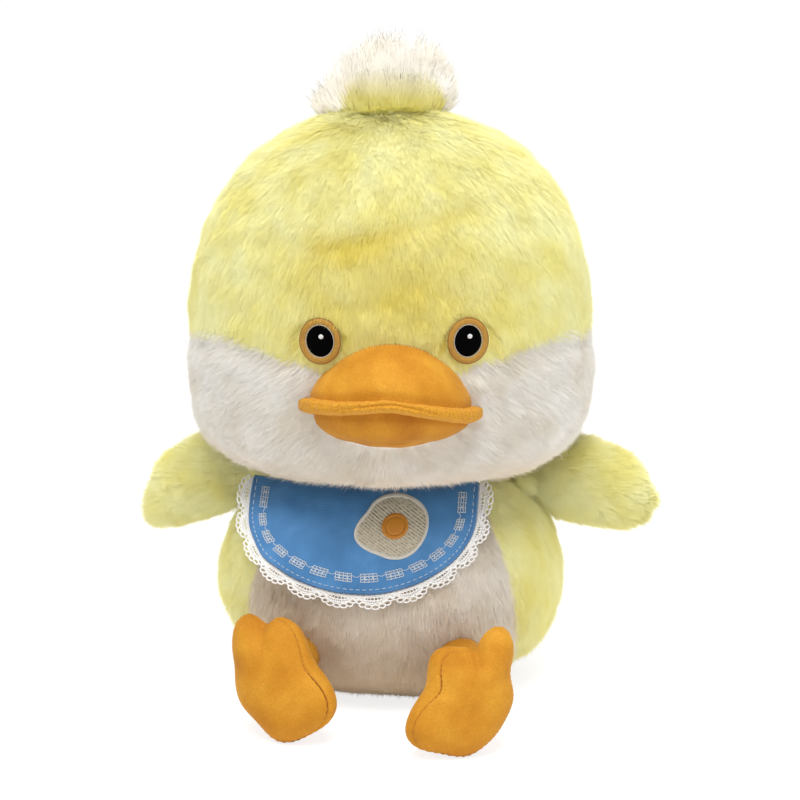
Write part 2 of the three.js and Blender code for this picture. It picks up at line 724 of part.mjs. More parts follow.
// A point of the bib's edge, moved out by a distance. Along runs from 0 to 1 round its U.
function bibEdge(along, out) {
  const round = (Math.PI * (bibHalfWidth + bibRound)) / 2;
  const distance = along * (round + 2 * bibStraight);
  if (distance < bibStraight) return new THREE.Vector2(bibSide - bibHalfWidth - out, bibTop - distance);
  if (distance > bibStraight + round) {
    return new THREE.Vector2(bibSide + bibHalfWidth + out, bibMiddle + distance - bibStraight - round);
  }
  const turn = (Math.PI * (distance - bibStraight)) / round;
  const x = bibSide - (bibHalfWidth + out) * Math.cos(turn);
  return new THREE.Vector2(x, bibMiddle - (bibRound + out) * Math.sin(turn));
}

function bibShape() {
  const shape = new THREE.Shape();
  const steps = 40;
  for (let step = 0; step <= steps; step++) {
    const { x, y } = bibEdge(step / steps, 0);
    if (step === 0) shape.moveTo(x, y);
    else shape.lineTo(x, y);
  }
  shape.closePath();
  return shape;
}

// The lace: a strip round the cloth with round scallops, each with a fan of small holes.
function laceShape() {
  const shape = new THREE.Shape();
  const stepsEach = 6;
  const steps = laceScallopCount * stepsEach;
  for (let step = 0; step <= steps; step++) {
    const bulge = Math.abs(Math.sin((Math.PI * step) / stepsEach)) ** 0.6;
    const { x, y } = bibEdge(step / steps, laceRoot + gap + (laceWidth - laceRoot - gap) * bulge);
    if (step === 0) shape.moveTo(x, y);
    else shape.lineTo(x, y);
  }
  for (let step = steps; step >= 0; step -= 2) {
    const { x, y } = bibEdge(step / steps, gap);
    shape.lineTo(x, y);
  }
  shape.closePath();
  const holeShares = [[-0.27, 0.5], [0, 0.5], [0.27, 0.5], [-0.15, 0.78], [0.15, 0.78]];
  for (let scallop = 0; scallop < laceScallopCount; scallop++) {
    for (const [aside, out] of holeShares) {
      const { x, y } = bibEdge((scallop + 0.5 + aside) / laceScallopCount, laceWidth * out);
      const hole = new THREE.Path();
      for (let corner = 0; corner < laceHoleSides; corner++) {
        const turn = (-2 * Math.PI * corner) / laceHoleSides;
        const cornerX = x + laceHoleRadius * Math.cos(turn);
        const cornerY = y + laceHoleRadius * Math.sin(turn);
        if (corner === 0) hole.moveTo(cornerX, cornerY);
        else hole.lineTo(cornerX, cornerY);
      }
      hole.closePath();
      shape.holes.push(hole);
    }
  }
  return shape;
}

// The sewn patch: a soft uneven round like a fried egg.
function patchShape() {
  const shape = new THREE.Shape();
  const steps = 28;
  for (let step = 0; step < steps; step++) {
    const turn = (2 * Math.PI * step) / steps;
    const uneven = 1 + 0.07 * Math.sin(2 * turn + 2.2) + 0.06 * Math.sin(3 * turn + 0.4);
    const x = bibSide + patchSide + patchHalfWidth * uneven * Math.cos(turn);
    const z = bibTop - patchDrop + patchHalfHeight * uneven * Math.sin(turn);
    if (step === 0) shape.moveTo(x, z);
    else shape.lineTo(x, z);
  }
  shape.closePath();
  return shape;
}

function addBib() {
  const front = -bodyHalfDepth - overrun;
  const cut = (shape) => standingCut(shape, 2 * front, 0);
  const yolkX = bibSide + patchSide + yolkSide;
  const yolk = (radius) => cut(ellipseShape(yolkX, bibTop - patchDrop + yolkRise, radius, radius));
  const clothFront = clothThickness + gap;
  const cloth = hangingSheet(0, clothThickness, 16, 14).intersect(cut(bibShape()));
  const lace = hangingSheet(0, laceThickness, 12, 8).intersect(cut(laceShape()));
  const patchSheet = hangingSheet(clothFront, clothFront + patchThickness, 16, 14);
  const patch = patchSheet.intersect(cut(patchShape())).subtract(yolk(yolkRadius + gap));
  const yolkSheet = hangingSheet(clothFront, clothFront + yolkThickness, 16, 14);
  addPiece(body, "bib_cloth", cloth, cloths.blueCotton);
  addPiece(body, "bib_lace", lace, cloths.whiteLace);
  addPiece(body, "patch_white", patch, cloths.creamThread);
  addPiece(body, "patch_yolk", yolkSheet.intersect(yolk(yolkRadius)), cloths.amberThread);
}

addHead();
addBody();
addTail();
addWing(-1, "left", leftWingTipDrop, leftWingSweepDegrees);
addWing(1, "right", rightWingTipDrop, rightWingSweepDegrees);
addFoot(-1, "left", leftFootSpread, leftFootReach);
addFoot(1, "right", rightFootSpread, rightFootReach);
addBib();

const plushDuck = new THREE.Group();
plushDuck.add(head, body);

export default plushDuck;
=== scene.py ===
# A seated plush duck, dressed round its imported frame: fur pile, short smooth pile, and a cotton bib
# with lace and embroidery. Metres, Z up, the face looks along -Y. Forms are worked out in millimetres.
import math

import bmesh
import bpy
import numpy as np
from mathutils import Matrix, Vector, noise


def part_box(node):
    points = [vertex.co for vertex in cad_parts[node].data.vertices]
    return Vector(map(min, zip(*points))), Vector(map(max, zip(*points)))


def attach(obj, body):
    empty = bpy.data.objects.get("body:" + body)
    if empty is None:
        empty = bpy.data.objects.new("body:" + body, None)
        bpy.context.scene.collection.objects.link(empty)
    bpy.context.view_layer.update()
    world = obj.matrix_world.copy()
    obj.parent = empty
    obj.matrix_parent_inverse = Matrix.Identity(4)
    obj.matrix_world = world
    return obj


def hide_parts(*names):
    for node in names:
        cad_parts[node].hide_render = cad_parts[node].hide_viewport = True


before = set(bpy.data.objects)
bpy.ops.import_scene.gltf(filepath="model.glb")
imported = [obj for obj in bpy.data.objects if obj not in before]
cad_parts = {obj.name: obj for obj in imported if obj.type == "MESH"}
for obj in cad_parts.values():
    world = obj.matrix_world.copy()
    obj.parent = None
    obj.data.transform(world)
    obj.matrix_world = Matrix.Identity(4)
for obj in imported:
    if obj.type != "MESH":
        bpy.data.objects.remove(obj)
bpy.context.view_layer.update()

mm = 0.001
random = np.random.default_rng(11)
scene = bpy.context.scene
print("frame loaded")


# Helpers

def linear(hexColour):
    channels = [int(hexColour[i:i + 2], 16) / 255 for i in (1, 3, 5)]
    return [c / 12.92 if c <= 0.04045 else ((c + 0.055) / 1.055) ** 2.4 for c in channels] + [1]


def addNode(tree, kind, links=None, **settings):
    node = tree.nodes.new(kind)
    for name, value in settings.items():
        setattr(node, name, value)
    for name, value in (links or {}).items():
        if isinstance(value, bpy.types.NodeSocket):
            tree.links.new(value, node.inputs[name])
        else:
            node.inputs[name].default_value = value
    return node


def newMaterial(name):
    material = bpy.data.materials.new(name)
    material.use_nodes = True
    tree = material.node_tree
    tree.nodes.clear()
    return material, tree


# Ends a material: a Principled shader with these inputs, shown as the surface.
def finishMaterial(tree, inputs):
    shader = addNode(tree, "ShaderNodeBsdfPrincipled", inputs)
    addNode(tree, "ShaderNodeOutputMaterial", {"Surface": shader.outputs["BSDF"]})


# A colour that runs through hex stops as a socket rises from 0 to 1.
def addRamp(tree, factor, stops):
    ramp = addNode(tree, "ShaderNodeValToRGB", {"Fac": factor})
    elements = ramp.color_ramp.elements
    while len(elements) < len(stops):
        elements.new(0.5)
    for element, (place, colour) in zip(elements, stops):
        element.position = place
        element.color = linear(colour)
    return ramp.outputs["Color"]


# Noise on object coordinates with a grain size in millimetres.
def addNoise(tree, grainMm, detail=2.0, roughness=0.5):
    coordinates = addNode(tree, "ShaderNodeTexCoord").outputs["Object"]
    settings = {"Vector": coordinates, "Scale": 1 / (grainMm * mm), "Detail": detail, "Roughness": roughness}
    return addNode(tree, "ShaderNodeTexNoise", settings).outputs["Fac"]


def addBump(tree, height, depthMm, strength=1.0, normal=None):
    links = {"Height": height, "Distance": depthMm * mm, "Strength": strength}
    if normal:
        links["Normal"] = normal
    return addNode(tree, "ShaderNodeBump", links).outputs["Normal"]


# Mixes two colours; blend is the mixing mode.
def addMix(tree, factor, first, second, blend="MIX"):
    node = addNode(tree, "ShaderNodeMix", {0: factor, 6: first, 7: second}, data_type="RGBA",
                   blend_type=blend)
    return node.outputs[2]


def unit(vectors):
    return vectors / np.maximum(np.linalg.norm(vectors, axis=-1, keepdims=True), 1e-12)


def signedPower(values, power):
    return np.sign(values) * np.abs(values) ** power


# The two places that pieces are made in: the head stands on the neck, the body sits turned a little.
bodyTurn = math.radians(-5.5)
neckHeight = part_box("head_cheeks")[0][2]
bodyPlace = Matrix.Rotation(bodyTurn, 4, "Z") @ Matrix.Scale(mm, 4)
headPlace = Matrix.Translation((0, 0, neckHeight)) @ Matrix.Scale(mm, 4)


def addObject(name, data):
    made = bpy.data.objects.new(name, data)
    scene.collection.objects.link(made)
    return made


# Makes an object from a bmesh in millimetres, in its place, riding on a body. It may stand for a node of the
# solids, whose solid it then hides.
def makePiece(name, bm, place, body, material, node=None):
    mesh = bpy.data.meshes.new(name)
    bm.to_mesh(mesh)
    bm.free()
    mesh.transform(place)
    mesh.materials.append(material)
    for polygon in mesh.polygons:
        polygon.use_smooth = True
    piece = addObject(name, mesh)
    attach(piece, body)
    if node:
        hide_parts(node)
    return piece


def pointsOf(bm):
    return np.array([v.co for v in bm.verts])


def normalsOf(bm):
    return np.array([v.normal for v in bm.verts])


def movePoints(bm, points):
    for v, point in zip(bm.verts, points):
        v.co = point
    bm.normal_update()


# A round ball of radius 1 that a form is shaped from, with its points' heights and turns.
def roundBall(columns, rows):
    bm = bmesh.new()
    bmesh.ops.create_uvsphere(bm, u_segments=columns, v_segments=rows, radius=1)
    points = pointsOf(bm)
    return bm, np.clip(points[:, 2], -1, 1), np.arctan2(points[:, 1], points[:, 0])


# Stuffed forms

headForm = dict(
    halfWidth=93.5, halfDepth=80, waist=58.2, rise=106, drop=58.5, topSquare=0.22, bottomSquare=1,
    sideSquare=0.1, floor=0, ceiling=math.inf,
)
bodyForm = dict(
    halfWidth=81.5, halfDepth=73, waist=48, rise=64, drop=59, topSquare=0.05, bottomSquare=0,
    sideSquare=0.05, floor=0, ceiling=103.5,
)


def exponentOf(square):
    return 2 + 2 * square


def swellAt(form, heights):
    heights = np.asarray(heights, dtype=float)
    rising = heights > form["waist"]
    power = np.where(rising, exponentOf(form["topSquare"]), exponentOf(form["bottomSquare"]))
    away = np.abs(heights - form["waist"]) / np.where(rising, form["rise"], form["drop"])
    return np.maximum(0, 1 - away ** power) ** (1 / power)


# A round ball pushed out to a plump form, with its flat floor and ceiling.
def plumpSkin(form, grow, columns, rows):
    bm, up, around = roundBall(columns, rows)
    power = np.where(up > 0, exponentOf(form["topSquare"]), exponentOf(form["bottomSquare"]))
    swell = np.maximum(0, 1 - np.abs(up) ** power) ** (1 / power)
    corner = 2 / exponentOf(form["sideSquare"])
    x = (form["halfWidth"] + grow) * swell * signedPower(np.cos(around), corner)
    y = (form["halfDepth"] + grow) * swell * signedPower(np.sin(around), corner)
    z = form["waist"] + up * (np.where(up > 0, form["rise"], form["drop"]) + grow)
    z = np.clip(z, form["floor"] - grow, form["ceiling"] + grow)
    movePoints(bm, np.stack([x, y, z], axis=1))
    return bm


# Moves points along their normals by soft lumps, as stuffing does.
def addLumps(bm, heightMm, sizeMm, seed):
    shift = Vector((seed, seed * 1.7, seed * 0.6))
    for v in bm.verts:
        v.co += v.normal * heightMm * noise.noise(v.co / sizeMm + shift)
    bm.normal_update()


# Where the head's surface is at a place of its front, and the way it faces.
def headFront(x, z, grow=0):
    power = exponentOf(headForm["sideSquare"])
    swell = float(swellAt(headForm, z))
    width = headForm["halfWidth"] + grow
    depth = headForm["halfDepth"] + grow
    y = -depth * swell * (1 - (abs(x) / (width * swell)) ** power) ** (1 / power)
    across = math.copysign(abs(x) ** (power - 1), x) / width ** power
    facing = Vector((across, -abs(y) ** (power - 1) / depth ** power, 0))
    return Vector((x, y, z)), facing.normalized()


# The seam of white and yellow fur round the face: its height at a place across.
cheekSeam = dict(side=61.2, crest=68.2, crestReach=72, dip=54.2, back=14, dropMm=30, dropFrom=-14)


def cheekSeamHeight(x):
    seam = cheekSeam
    across = np.abs(x)
    bend = np.clip(across / seam["crestReach"], 0, 1)
    rise = bend * bend * (3 - 2 * bend)
    inner = seam["dip"] + (seam["crest"] - seam["dip"]) * rise
    out = np.clip((across - seam["crestReach"]) / (headForm["halfWidth"] - seam["crestReach"]), 0, 1)
    return inner - (seam["crest"] - seam["side"]) * out * out


# How far the seam drops on its way round to the back corner.
def cheekSeamDrop(y):
    seam = cheekSeam
    behind = np.clip((y - seam["dropFrom"]) / (seam["back"] - seam["dropFrom"]), 0, 1)
    return seam["dropMm"] * behind ** 2.4


def inCheeks(points, lift=0):
    seam = cheekSeamHeight(points[:, 0]) - cheekSeamDrop(points[:, 1])
    return (points[:, 2] < seam + lift) & (points[:, 1] < cheekSeam["back"])


bellySeam = dict(halfWidth=61, middle=34, rise=84, depth=6)


def bellyDistance(points):
    across = points[:, 0] / bellySeam["halfWidth"]
    up = (points[:, 2] - bellySeam["middle"]) / bellySeam["rise"]
    return np.sqrt(across ** 2 + up ** 2) - 1


def inBelly(points):
    return (bellyDistance(points) < 0) & (points[:, 1] < -bellySeam["depth"])


print("helpers ready")


# Fur pile

# Even random places over a mesh in millimetres: points and the smooth surface's normals.
def scatterOn(bm, perSquareMm):
    mesh = bpy.data.meshes.new("scatter")
    bm.to_mesh(mesh)
    mesh.calc_loop_triangles()
    corners = np.empty(len(mesh.loop_triangles) * 3, dtype=np.int32)
    mesh.loop_triangles.foreach_get("vertices", corners)
    # A ball's faces come in another order on each run, so its triangles are put in a fixed one.
    corners = np.sort(corners.reshape(-1, 3), axis=1)
    corners = corners[np.lexsort(corners.T)]
    points = np.empty(len(mesh.vertices) * 3, dtype=np.float32)
    mesh.vertices.foreach_get("co", points)
    points = points.reshape(-1, 3).astype(float)
    normals = normalsOf(bm)
    bpy.data.meshes.remove(mesh)
    a, b, c = (points[corners[:, k]] for k in range(3))
    areas = np.linalg.norm(np.cross(b - a, c - a), axis=1) / 2
    count = int(areas.sum() * perSquareMm)
    faces = random.choice(len(areas), size=count, p=areas / areas.sum())
    u, v = random.random((2, count))
    flip = u + v > 1
    u, v = np.where(flip, 1 - u, u), np.where(flip, 1 - v, v)
    shares = np.stack([1 - u - v, u, v], axis=1)[:, :, None]
    places = (np.stack([a[faces], b[faces], c[faces]], axis=1) * shares).sum(axis=1)
    leans = (np.stack([normals[corners[faces, k]] for k in range(3)], axis=1) * shares).sum(axis=1)
    return places, unit(leans)


# A piece of pile keeps fewer faces than the 200,000 past which its STL would be thinned.
facesAPiece = 190000
# The lowest that a strand reaches, in metres, so none goes through the table.
aboveTable = 0.0003
# How far up its length a bent strand bends.
bendShare = 0.45
clumpSeeds = np.array([[12.9898, 78.233, 37.719], [39.346, 11.135, 83.155], [73.156, 52.235, 9.151]])


# The nearest of loosely gridded clump centres to each point, and three numbers of its own for each.
def clumpsNear(points, sizeMm):
    cells = np.floor(points / sizeMm)
    best = np.full(len(points), np.inf)
    centres = np.zeros_like(points)
    moods = np.zeros_like(points)
    for dx in (-1, 0, 1):
        for dy in (-1, 0, 1):
            for dz in (-1, 0, 1):
                cell = cells + (dx, dy, dz)
                seeds = cell @ clumpSeeds
                jitter = np.modf(np.abs(np.sin(seeds) * 43758.5453))[0]
                candidate = (cell + jitter) * sizeMm
                distance = ((candidate - points) ** 2).sum(axis=1)
                nearer = distance < best
                best[nearer] = distance[nearer]
                centres[nearer] = candidate[nearer]
                moods[nearer] = jitter[nearer]
    return centres, moods


# The part of the nap's flow that runs along the surface, as unit vectors.
def alongSurface(flow, normals):
    return unit(flow - normals * (flow * normals).sum(axis=1, keepdims=True))


# Turns strands a little to the front, most of all those that face it, so few show their backs at the outline.
def facingFront(normals, share=0.5, front=-1):
    return unit(normals + np.outer(share * np.clip(0.6 + front * normals[:, 1], 0, 1), (0, front, 0.15)))


# Grows flat tapered strands of pile, in pieces small enough to keep every face: straight ones for a lying
# nap, or bent ones for pile that stands, which faces another way than its skin.
def growPile(name, roots, normals, flow, lengths, shade, pile, place, body, material, facing=None):
    count = len(roots)
    flow = alongSurface(flow + random.normal(0, pile["stray"], (count, 3)), normals)
    lengths = lengths * random.normal(1, pile["lengthSpread"], count).clip(0.5, 1.5)
    rootLean, tipLean = (np.radians(pile[key]) + random.normal(0, pile["leanSpread"], count)
                         for key in ("rootLean", "tipLean"))
    # A few guard hairs stand up out of the nap.
    guard = random.random(count) < pile["guardShare"]
    tipLean = np.where(guard, tipLean - random.uniform(0.2, 0.6, count), tipLean)
    low = unit(normals * np.cos(rootLean)[:, None] + flow * np.sin(rootLean)[:, None])
    high = unit(normals * np.cos(tipLean)[:, None] + flow * np.sin(tipLean)[:, None])
    middles = roots + low * (lengths * bendShare)[:, None]
    tips = middles + high * (lengths * (1 - bendShare))[:, None]
    centres, moods = clumpsNear(roots, pile["clumpMm"])
    tones = moods[:, 0] * 0.4 + random.random(count) * 0.6
    pull = centres - roots
    pull -= normals * (pull * normals).sum(axis=1, keepdims=True)
    middles += pull * pile["clumpPull"] * 0.35
    tips += pull * pile["clumpPull"]
    halfWidth = (pile["strandMm"] / 2 * random.uniform(0.75, 1.25, count))[:, None]
    facing = normals if facing is None else facing
    along = unit(tips - roots)
    face = unit(facing - along * (facing * along).sum(axis=1, keepdims=True))
    side = np.cross(along, face) * halfWidth
    if pile.get("bent"):
        points = [roots - side, roots + side, middles - side * 0.85, middles + side * 0.85, tips]
        corners, shares = [(0, 1, 3, 2), (2, 3, 4)], (0, 0, bendShare, bendShare, 1)
    else:
        points, corners, shares = [roots - side, roots + side, tips], [(0, 1, 2)], (0, 0, 1)
    points = np.stack(points, axis=1)
    # Each tuft catches the light its own way.
    lit = unit(facing * pile["softness"] + face * (1 - pile["softness"]) + (moods - 0.5) * pile["mood"])
    parts = math.ceil(count * sum(len(c) - 2 for c in corners) / facesAPiece)
    turn = np.arctan2(roots[:, 1], roots[:, 0])
    order = np.argsort(turn) if parts > 1 else np.arange(count)
    matrix = np.array(place)
    turned = np.array((place.to_3x3().normalized()))
    for part, chosen in enumerate(np.array_split(order, parts)):
        pieceName = name if parts == 1 else name + "_" + str(part + 1)
        tints = tones[chosen], np.broadcast_to(shade, count)[chosen]
        piece = strandPiece(pieceName, points[chosen], corners, shares, lit[chosen] @ turned.T, tints, matrix,
                            material)
        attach(piece, body)


# One mesh of strands, each with a cell of its own in the UV map.
def strandPiece(name, points, corners, shares, lit, tints, matrix, material):
    count, size = len(points), points.shape[1]
    mesh = bpy.data.meshes.new(name)
    placed = points.reshape(-1, 3) @ matrix[:3, :3].T + matrix[:3, 3]
    placed[:, 2] = np.maximum(placed[:, 2], aboveTable)
    each = np.concatenate([np.array(face) for face in corners])
    loops = (np.arange(count)[:, None] * size + each).ravel()
    mesh.vertices.add(count * size)
    mesh.vertices.foreach_set("co", placed.astype(np.float32).ravel())
    mesh.loops.add(len(loops))
    mesh.loops.foreach_set("vertex_index", loops.astype(np.int32))
    mesh.polygons.add(count * len(corners))
    begins = np.cumsum([0] + [len(face) for face in corners[:-1]])
    faceStarts = (np.arange(count)[:, None] * len(each) + begins).ravel()
    mesh.polygons.foreach_set("loop_start", faceStarts.astype(np.int32))
    mesh.update(calc_edges=True)
    cells = math.ceil(math.sqrt(count))
    cell = np.arange(count)
    corner = np.stack([cell % cells, cell // cells], axis=1)[:, None, :]
    # Across its cell a strand runs from 0 to 1, and along it from foot to tip.
    mapped = np.array([(0.5 if shares[k] == 1 else 0.02 + 0.96 * (k % 2), 0.02 + 0.96 * shares[k])
                       for k in each])
    layer = mesh.uv_layers.new(name="OFBake")
    layer.uv.foreach_set("vector", ((corner + mapped) / cells).astype(np.float32).ravel())
    along = mesh.attributes.new("alongPile", "FLOAT", "POINT")
    along.data.foreach_set("value", np.tile(np.array(shares, dtype=np.float32), count))
    for tintName, tint in zip(("tone", "shade"), tints):
        attribute = mesh.attributes.new(tintName, "FLOAT", "POINT")
        attribute.data.foreach_set("value", np.repeat(tint, size).astype(np.float32))
    mesh.polygons.foreach_set("use_smooth", np.ones(count * len(corners), dtype=bool))
    mesh.normals_split_custom_set_from_vertices(np.repeat(lit, size, axis=0).astype(np.float32))
    mesh.materials.append(material)
    return addObject(name, mesh)


# A cloth or thread whose fine grain runs between two colours and stands up as relief. The grain is given as
# its size in millimetres, its detail and its roughness.
def grainMaterial(name, dark, light, grain, reliefMm, roughness, shine):
    material, tree = newMaterial(name)
    fine = addNoise(tree, *grain)
    finishMaterial(tree, {
        "Base Color": addMix(tree, fine, linear(dark), linear(light)), "Roughness": roughness,
        "Specular IOR Level": shine, "Normal": addBump(tree, fine, reliefMm),
    })
    return material


# Polyester pile: dull strands with a faint sheen, painted darker at the root as the shade deep in the pile,
# and pale at the tip.
def pileMaterial(name, pale, deep, patch):
    material, tree = newMaterial(name)
    along, tone, shade = (addNode(tree, "ShaderNodeAttribute", attribute_name=attribute).outputs["Fac"]
                          for attribute in ("alongPile", "tone", "shade"))
    # Painted shade: each strand runs from a darker root to a pale tip.
    strands = [addRamp(tree, along, list(zip((0, 0.45, 1), colours))) for colours in (pale, deep)]
    strand = addMix(tree, shade, *strands)
    lighter = addNode(tree, "ShaderNodeMath", {0: tone, 1: 0.4}, operation="MULTIPLY").outputs[0]
    clumped = addMix(tree, lighter, strand, linear(pale[1]))
    patches = addRamp(tree, addNoise(tree, 19, 3), [(0.35, "#ffffff"), (0.68, patch)])
    finishMaterial(tree, {
        "Base Color": addMix(tree, 1.0, clumped, patches, "MULTIPLY"), "Roughness": 0.85,
        "Specular IOR Level": 0.2, "Sheen Weight": 0.1, "Sheen Roughness": 0.5,
    })
    return material


# The knitted backing under the pile: the root's colour, which is painted shade as at the root, with the
# pile's small tufts as relief.
def backingMaterial(name, dark, light):
    return grainMaterial(name, dark, light, (2.2, 3, 0.5), 1.2, 0.95, 0.2)


# The deep colours, mixed in by the shade attribute, are painted shade round the eyes, in the crease, at the
# chin and low on the belly, and a deeper yellow over the middle of the face.
yellowPile = pileMaterial("yellow polyester plush pile", ("#f4ee9a", "#fbf8b6", "#fefcc8"),
                          ("#d6c036", "#e0cc48", "#e9d65e"), "#f9f4d0")
whitePile = pileMaterial("white polyester plush pile", ("#eee9e0", "#f3efe8", "#f7f4ee"),
                         ("#deb884", "#e5c594", "#ebd2aa"), "#f3efe6")
yellowBacking = backingMaterial("yellow knitted backing", "#f2ec90", "#f6f2a4")
whiteBacking = backingMaterial("white knitted backing", "#ebe7e0", "#f4f1ec")
print("pile materials made")


# Head

headFur = dict(
    sink=2.2, columns=176, rows=116, density=7.5, crownLengthMm=7.5, cheekLengthMm=8, seamDepthMm=1.3,
    seamWidthMm=4.5, seamLiftMm=5.5, lumpsMm=1.2, lumpSizeMm=34, tuftsMm=0.9, tuftSizeMm=11, topRiseMm=3.2,
    topReachMm=34, bareRoundEyes=1.02, bareRoundBill=0.86, seatRadius=38,
)
crownPile = dict(
    strandMm=0.36, lengthSpread=0.14, stray=0.16, leanSpread=0.05, rootLean=70, tipLean=80, clumpMm=4.5,
    clumpPull=0.2, softness=0.9, mood=0.28, guardShare=0.08,
)
cheekPile = dict(
    strandMm=0.36, lengthSpread=0.16, stray=0.2, leanSpread=0.06, rootLean=66, tipLean=78, clumpMm=3.4,
    clumpPull=0.26, softness=0.86, mood=0.55, guardShare=0.14,
)
# The soft crease on the forehead: points across and up, in millimetres from the head's middle and underside.
foreheadCrease = [(-26, 116), (-10, 120.5), (12, 126), (32, 131)]


# Distance from the crease, and the way out from it, seen from the front.
def fromCrease(points):
    best = np.full(len(points), np.inf)
    away = np.zeros((len(points), 2))
    flat = points[:, [0, 2]]
    for start, end in zip(foreheadCrease, foreheadCrease[1:]):
        start, end = np.array(start, dtype=float), np.array(end, dtype=float)
        span = end - start
        along = np.clip(((flat - start) @ span) / (span @ span), 0, 1)[:, None]
        out = flat - (start + along * span)
        distance = np.linalg.norm(out, axis=1)
        nearer = distance < best
        best[nearer] = distance[nearer]
        away[nearer] = out[nearer]
    best = np.where(points[:, 1] < 0, best, 1e3)
    return best, away / np.maximum(best, 1e-6)[:, None]


def headSkin():
    bm = plumpSkin(headForm, -headFur["sink"], headFur["columns"], headFur["rows"])
    addLumps(bm, headFur["lumpsMm"], headFur["lumpSizeMm"], 3)
    addLumps(bm, headFur["tuftsMm"], headFur["tuftSizeMm"], 7)
    points = pointsOf(bm)
    normals = normalsOf(bm)
    front = points[:, 1] < cheekSeam["back"] + 3
    away = points[:, 2] - cheekSeamHeight(points[:, 0]) + cheekSeamDrop(points[:, 1])
    seam = np.where(front, np.exp(-(away / headFur["seamWidthMm"]) ** 2), 0) * headFur["seamDepthMm"]
    crease = np.exp(-(fromCrease(points)[0] / 6) ** 2) * 0.8
    # The pile stands higher round the crest.
    risen = np.exp(-(np.hypot(points[:, 0], points[:, 1] + 8) / headFur["topReachMm"]) ** 2)
    risen = risen * headFur["topRiseMm"] * (points[:, 2] > headForm["waist"])
    movePoints(bm, points + normals * (risen - seam - crease)[:, None])
    return bm


def keepFaces(bm, keep):
    centres = np.array([face.calc_center_median() for face in bm.faces])
    unwanted = [face for face, kept in zip(bm.faces, keep(centres)) if not kept]
    bmesh.ops.delete(bm, geom=unwanted, context="FACES")
    return bm


eye = dict(spread=32.2, side=1.4, height=74.1, ringHalfWidth=9.2, ringHalfHeight=10.2)
bill = dict(tilt=14, rootDepth=70, rootHeight=42.7)


# How far a place is from the nearer eye's middle, as a share of the eye's size, and the way out from it.
def fromEyes(points):
    best = np.full(len(points), np.inf)
    away = np.zeros((len(points), 2))
    for side in (-1, 1):
        x = (points[:, 0] - side * eye["spread"] - eye["side"]) / eye["ringHalfWidth"]
        z = (points[:, 2] - eye["height"]) / eye["ringHalfHeight"]
        distance = np.sqrt(x * x + z * z)
        nearer = distance < best
        best[nearer] = distance[nearer]
        away[nearer] = np.stack([x, z], axis=1)[nearer]
    best = np.where(points[:, 1] < 0, best, 1e3)
    return best, unit(away)


# The outline where the bill leaves the face: how wide it is, how high its middle lies, and how far it
# reaches up and down.
billRoot = dict(halfWidth=36.5, middle=42, above=25.5, below=19)


# How far a place is from that outline's middle, as a share of its size.
def fromBill(points):
    x = points[:, 0] / billRoot["halfWidth"]
    up = points[:, 2] - billRoot["middle"]
    z = up / np.where(up > 0, billRoot["above"], billRoot["below"])
    return np.where(points[:, 1] < 0, np.sqrt(x * x + z * z), 1e3)


# A soft spot seen from the front: 1 at its middle, and less the further out.
def softSpot(x, z, middle, reach):
    return np.exp(-((x - middle[0]) / reach[0]) ** 2 - ((z - middle[1]) / reach[1]) ** 2)


# The yellow pile takes its deeper colours over the middle of the face, and as painted shade round the eyes
# and along the crease; the white one takes warm painted shade at the chin, under the head.
def headShade(points):
    x, z = points[:, 0], points[:, 2]
    front = (points[:, 1] < 0) * 1.0
    face = softSpot(x, z, (2, 92), (42, 30))
    # Painted shade in the crease, deepest at its left end where the pile parts; and at the chin, under the
    # head.
    left = 0.5 * softSpot(x, z, (-20, 118), (16, 9))
    chin = 0.5 * np.exp(-((z - 4) / 14) ** 2)
    cheeks = inCheeks(points, headFur["seamLiftMm"])
    mottled = np.array([noise.noise(Vector(point) / 15) for point in points[:, :3]]) * 0.12
    # It is pale again in the corners under the eyes.
    under = softSpot(np.abs(x), z, (32, 59), (12, 6))
    # Painted shade round the rims of the eyes, and along the whole crease.
    near = np.exp(-((fromEyes(points)[0] - 1) / 0.35) ** 2) * (z > 70)
    creased = 0.3 * np.exp(-(fromCrease(points)[0] / 5) ** 2)
    yellow = (face * 0.85 + left + creased + mottled + near * 0.4) * (1 - under)
    return np.clip(np.where(cheeks, chin, yellow) * front, 0, 1)


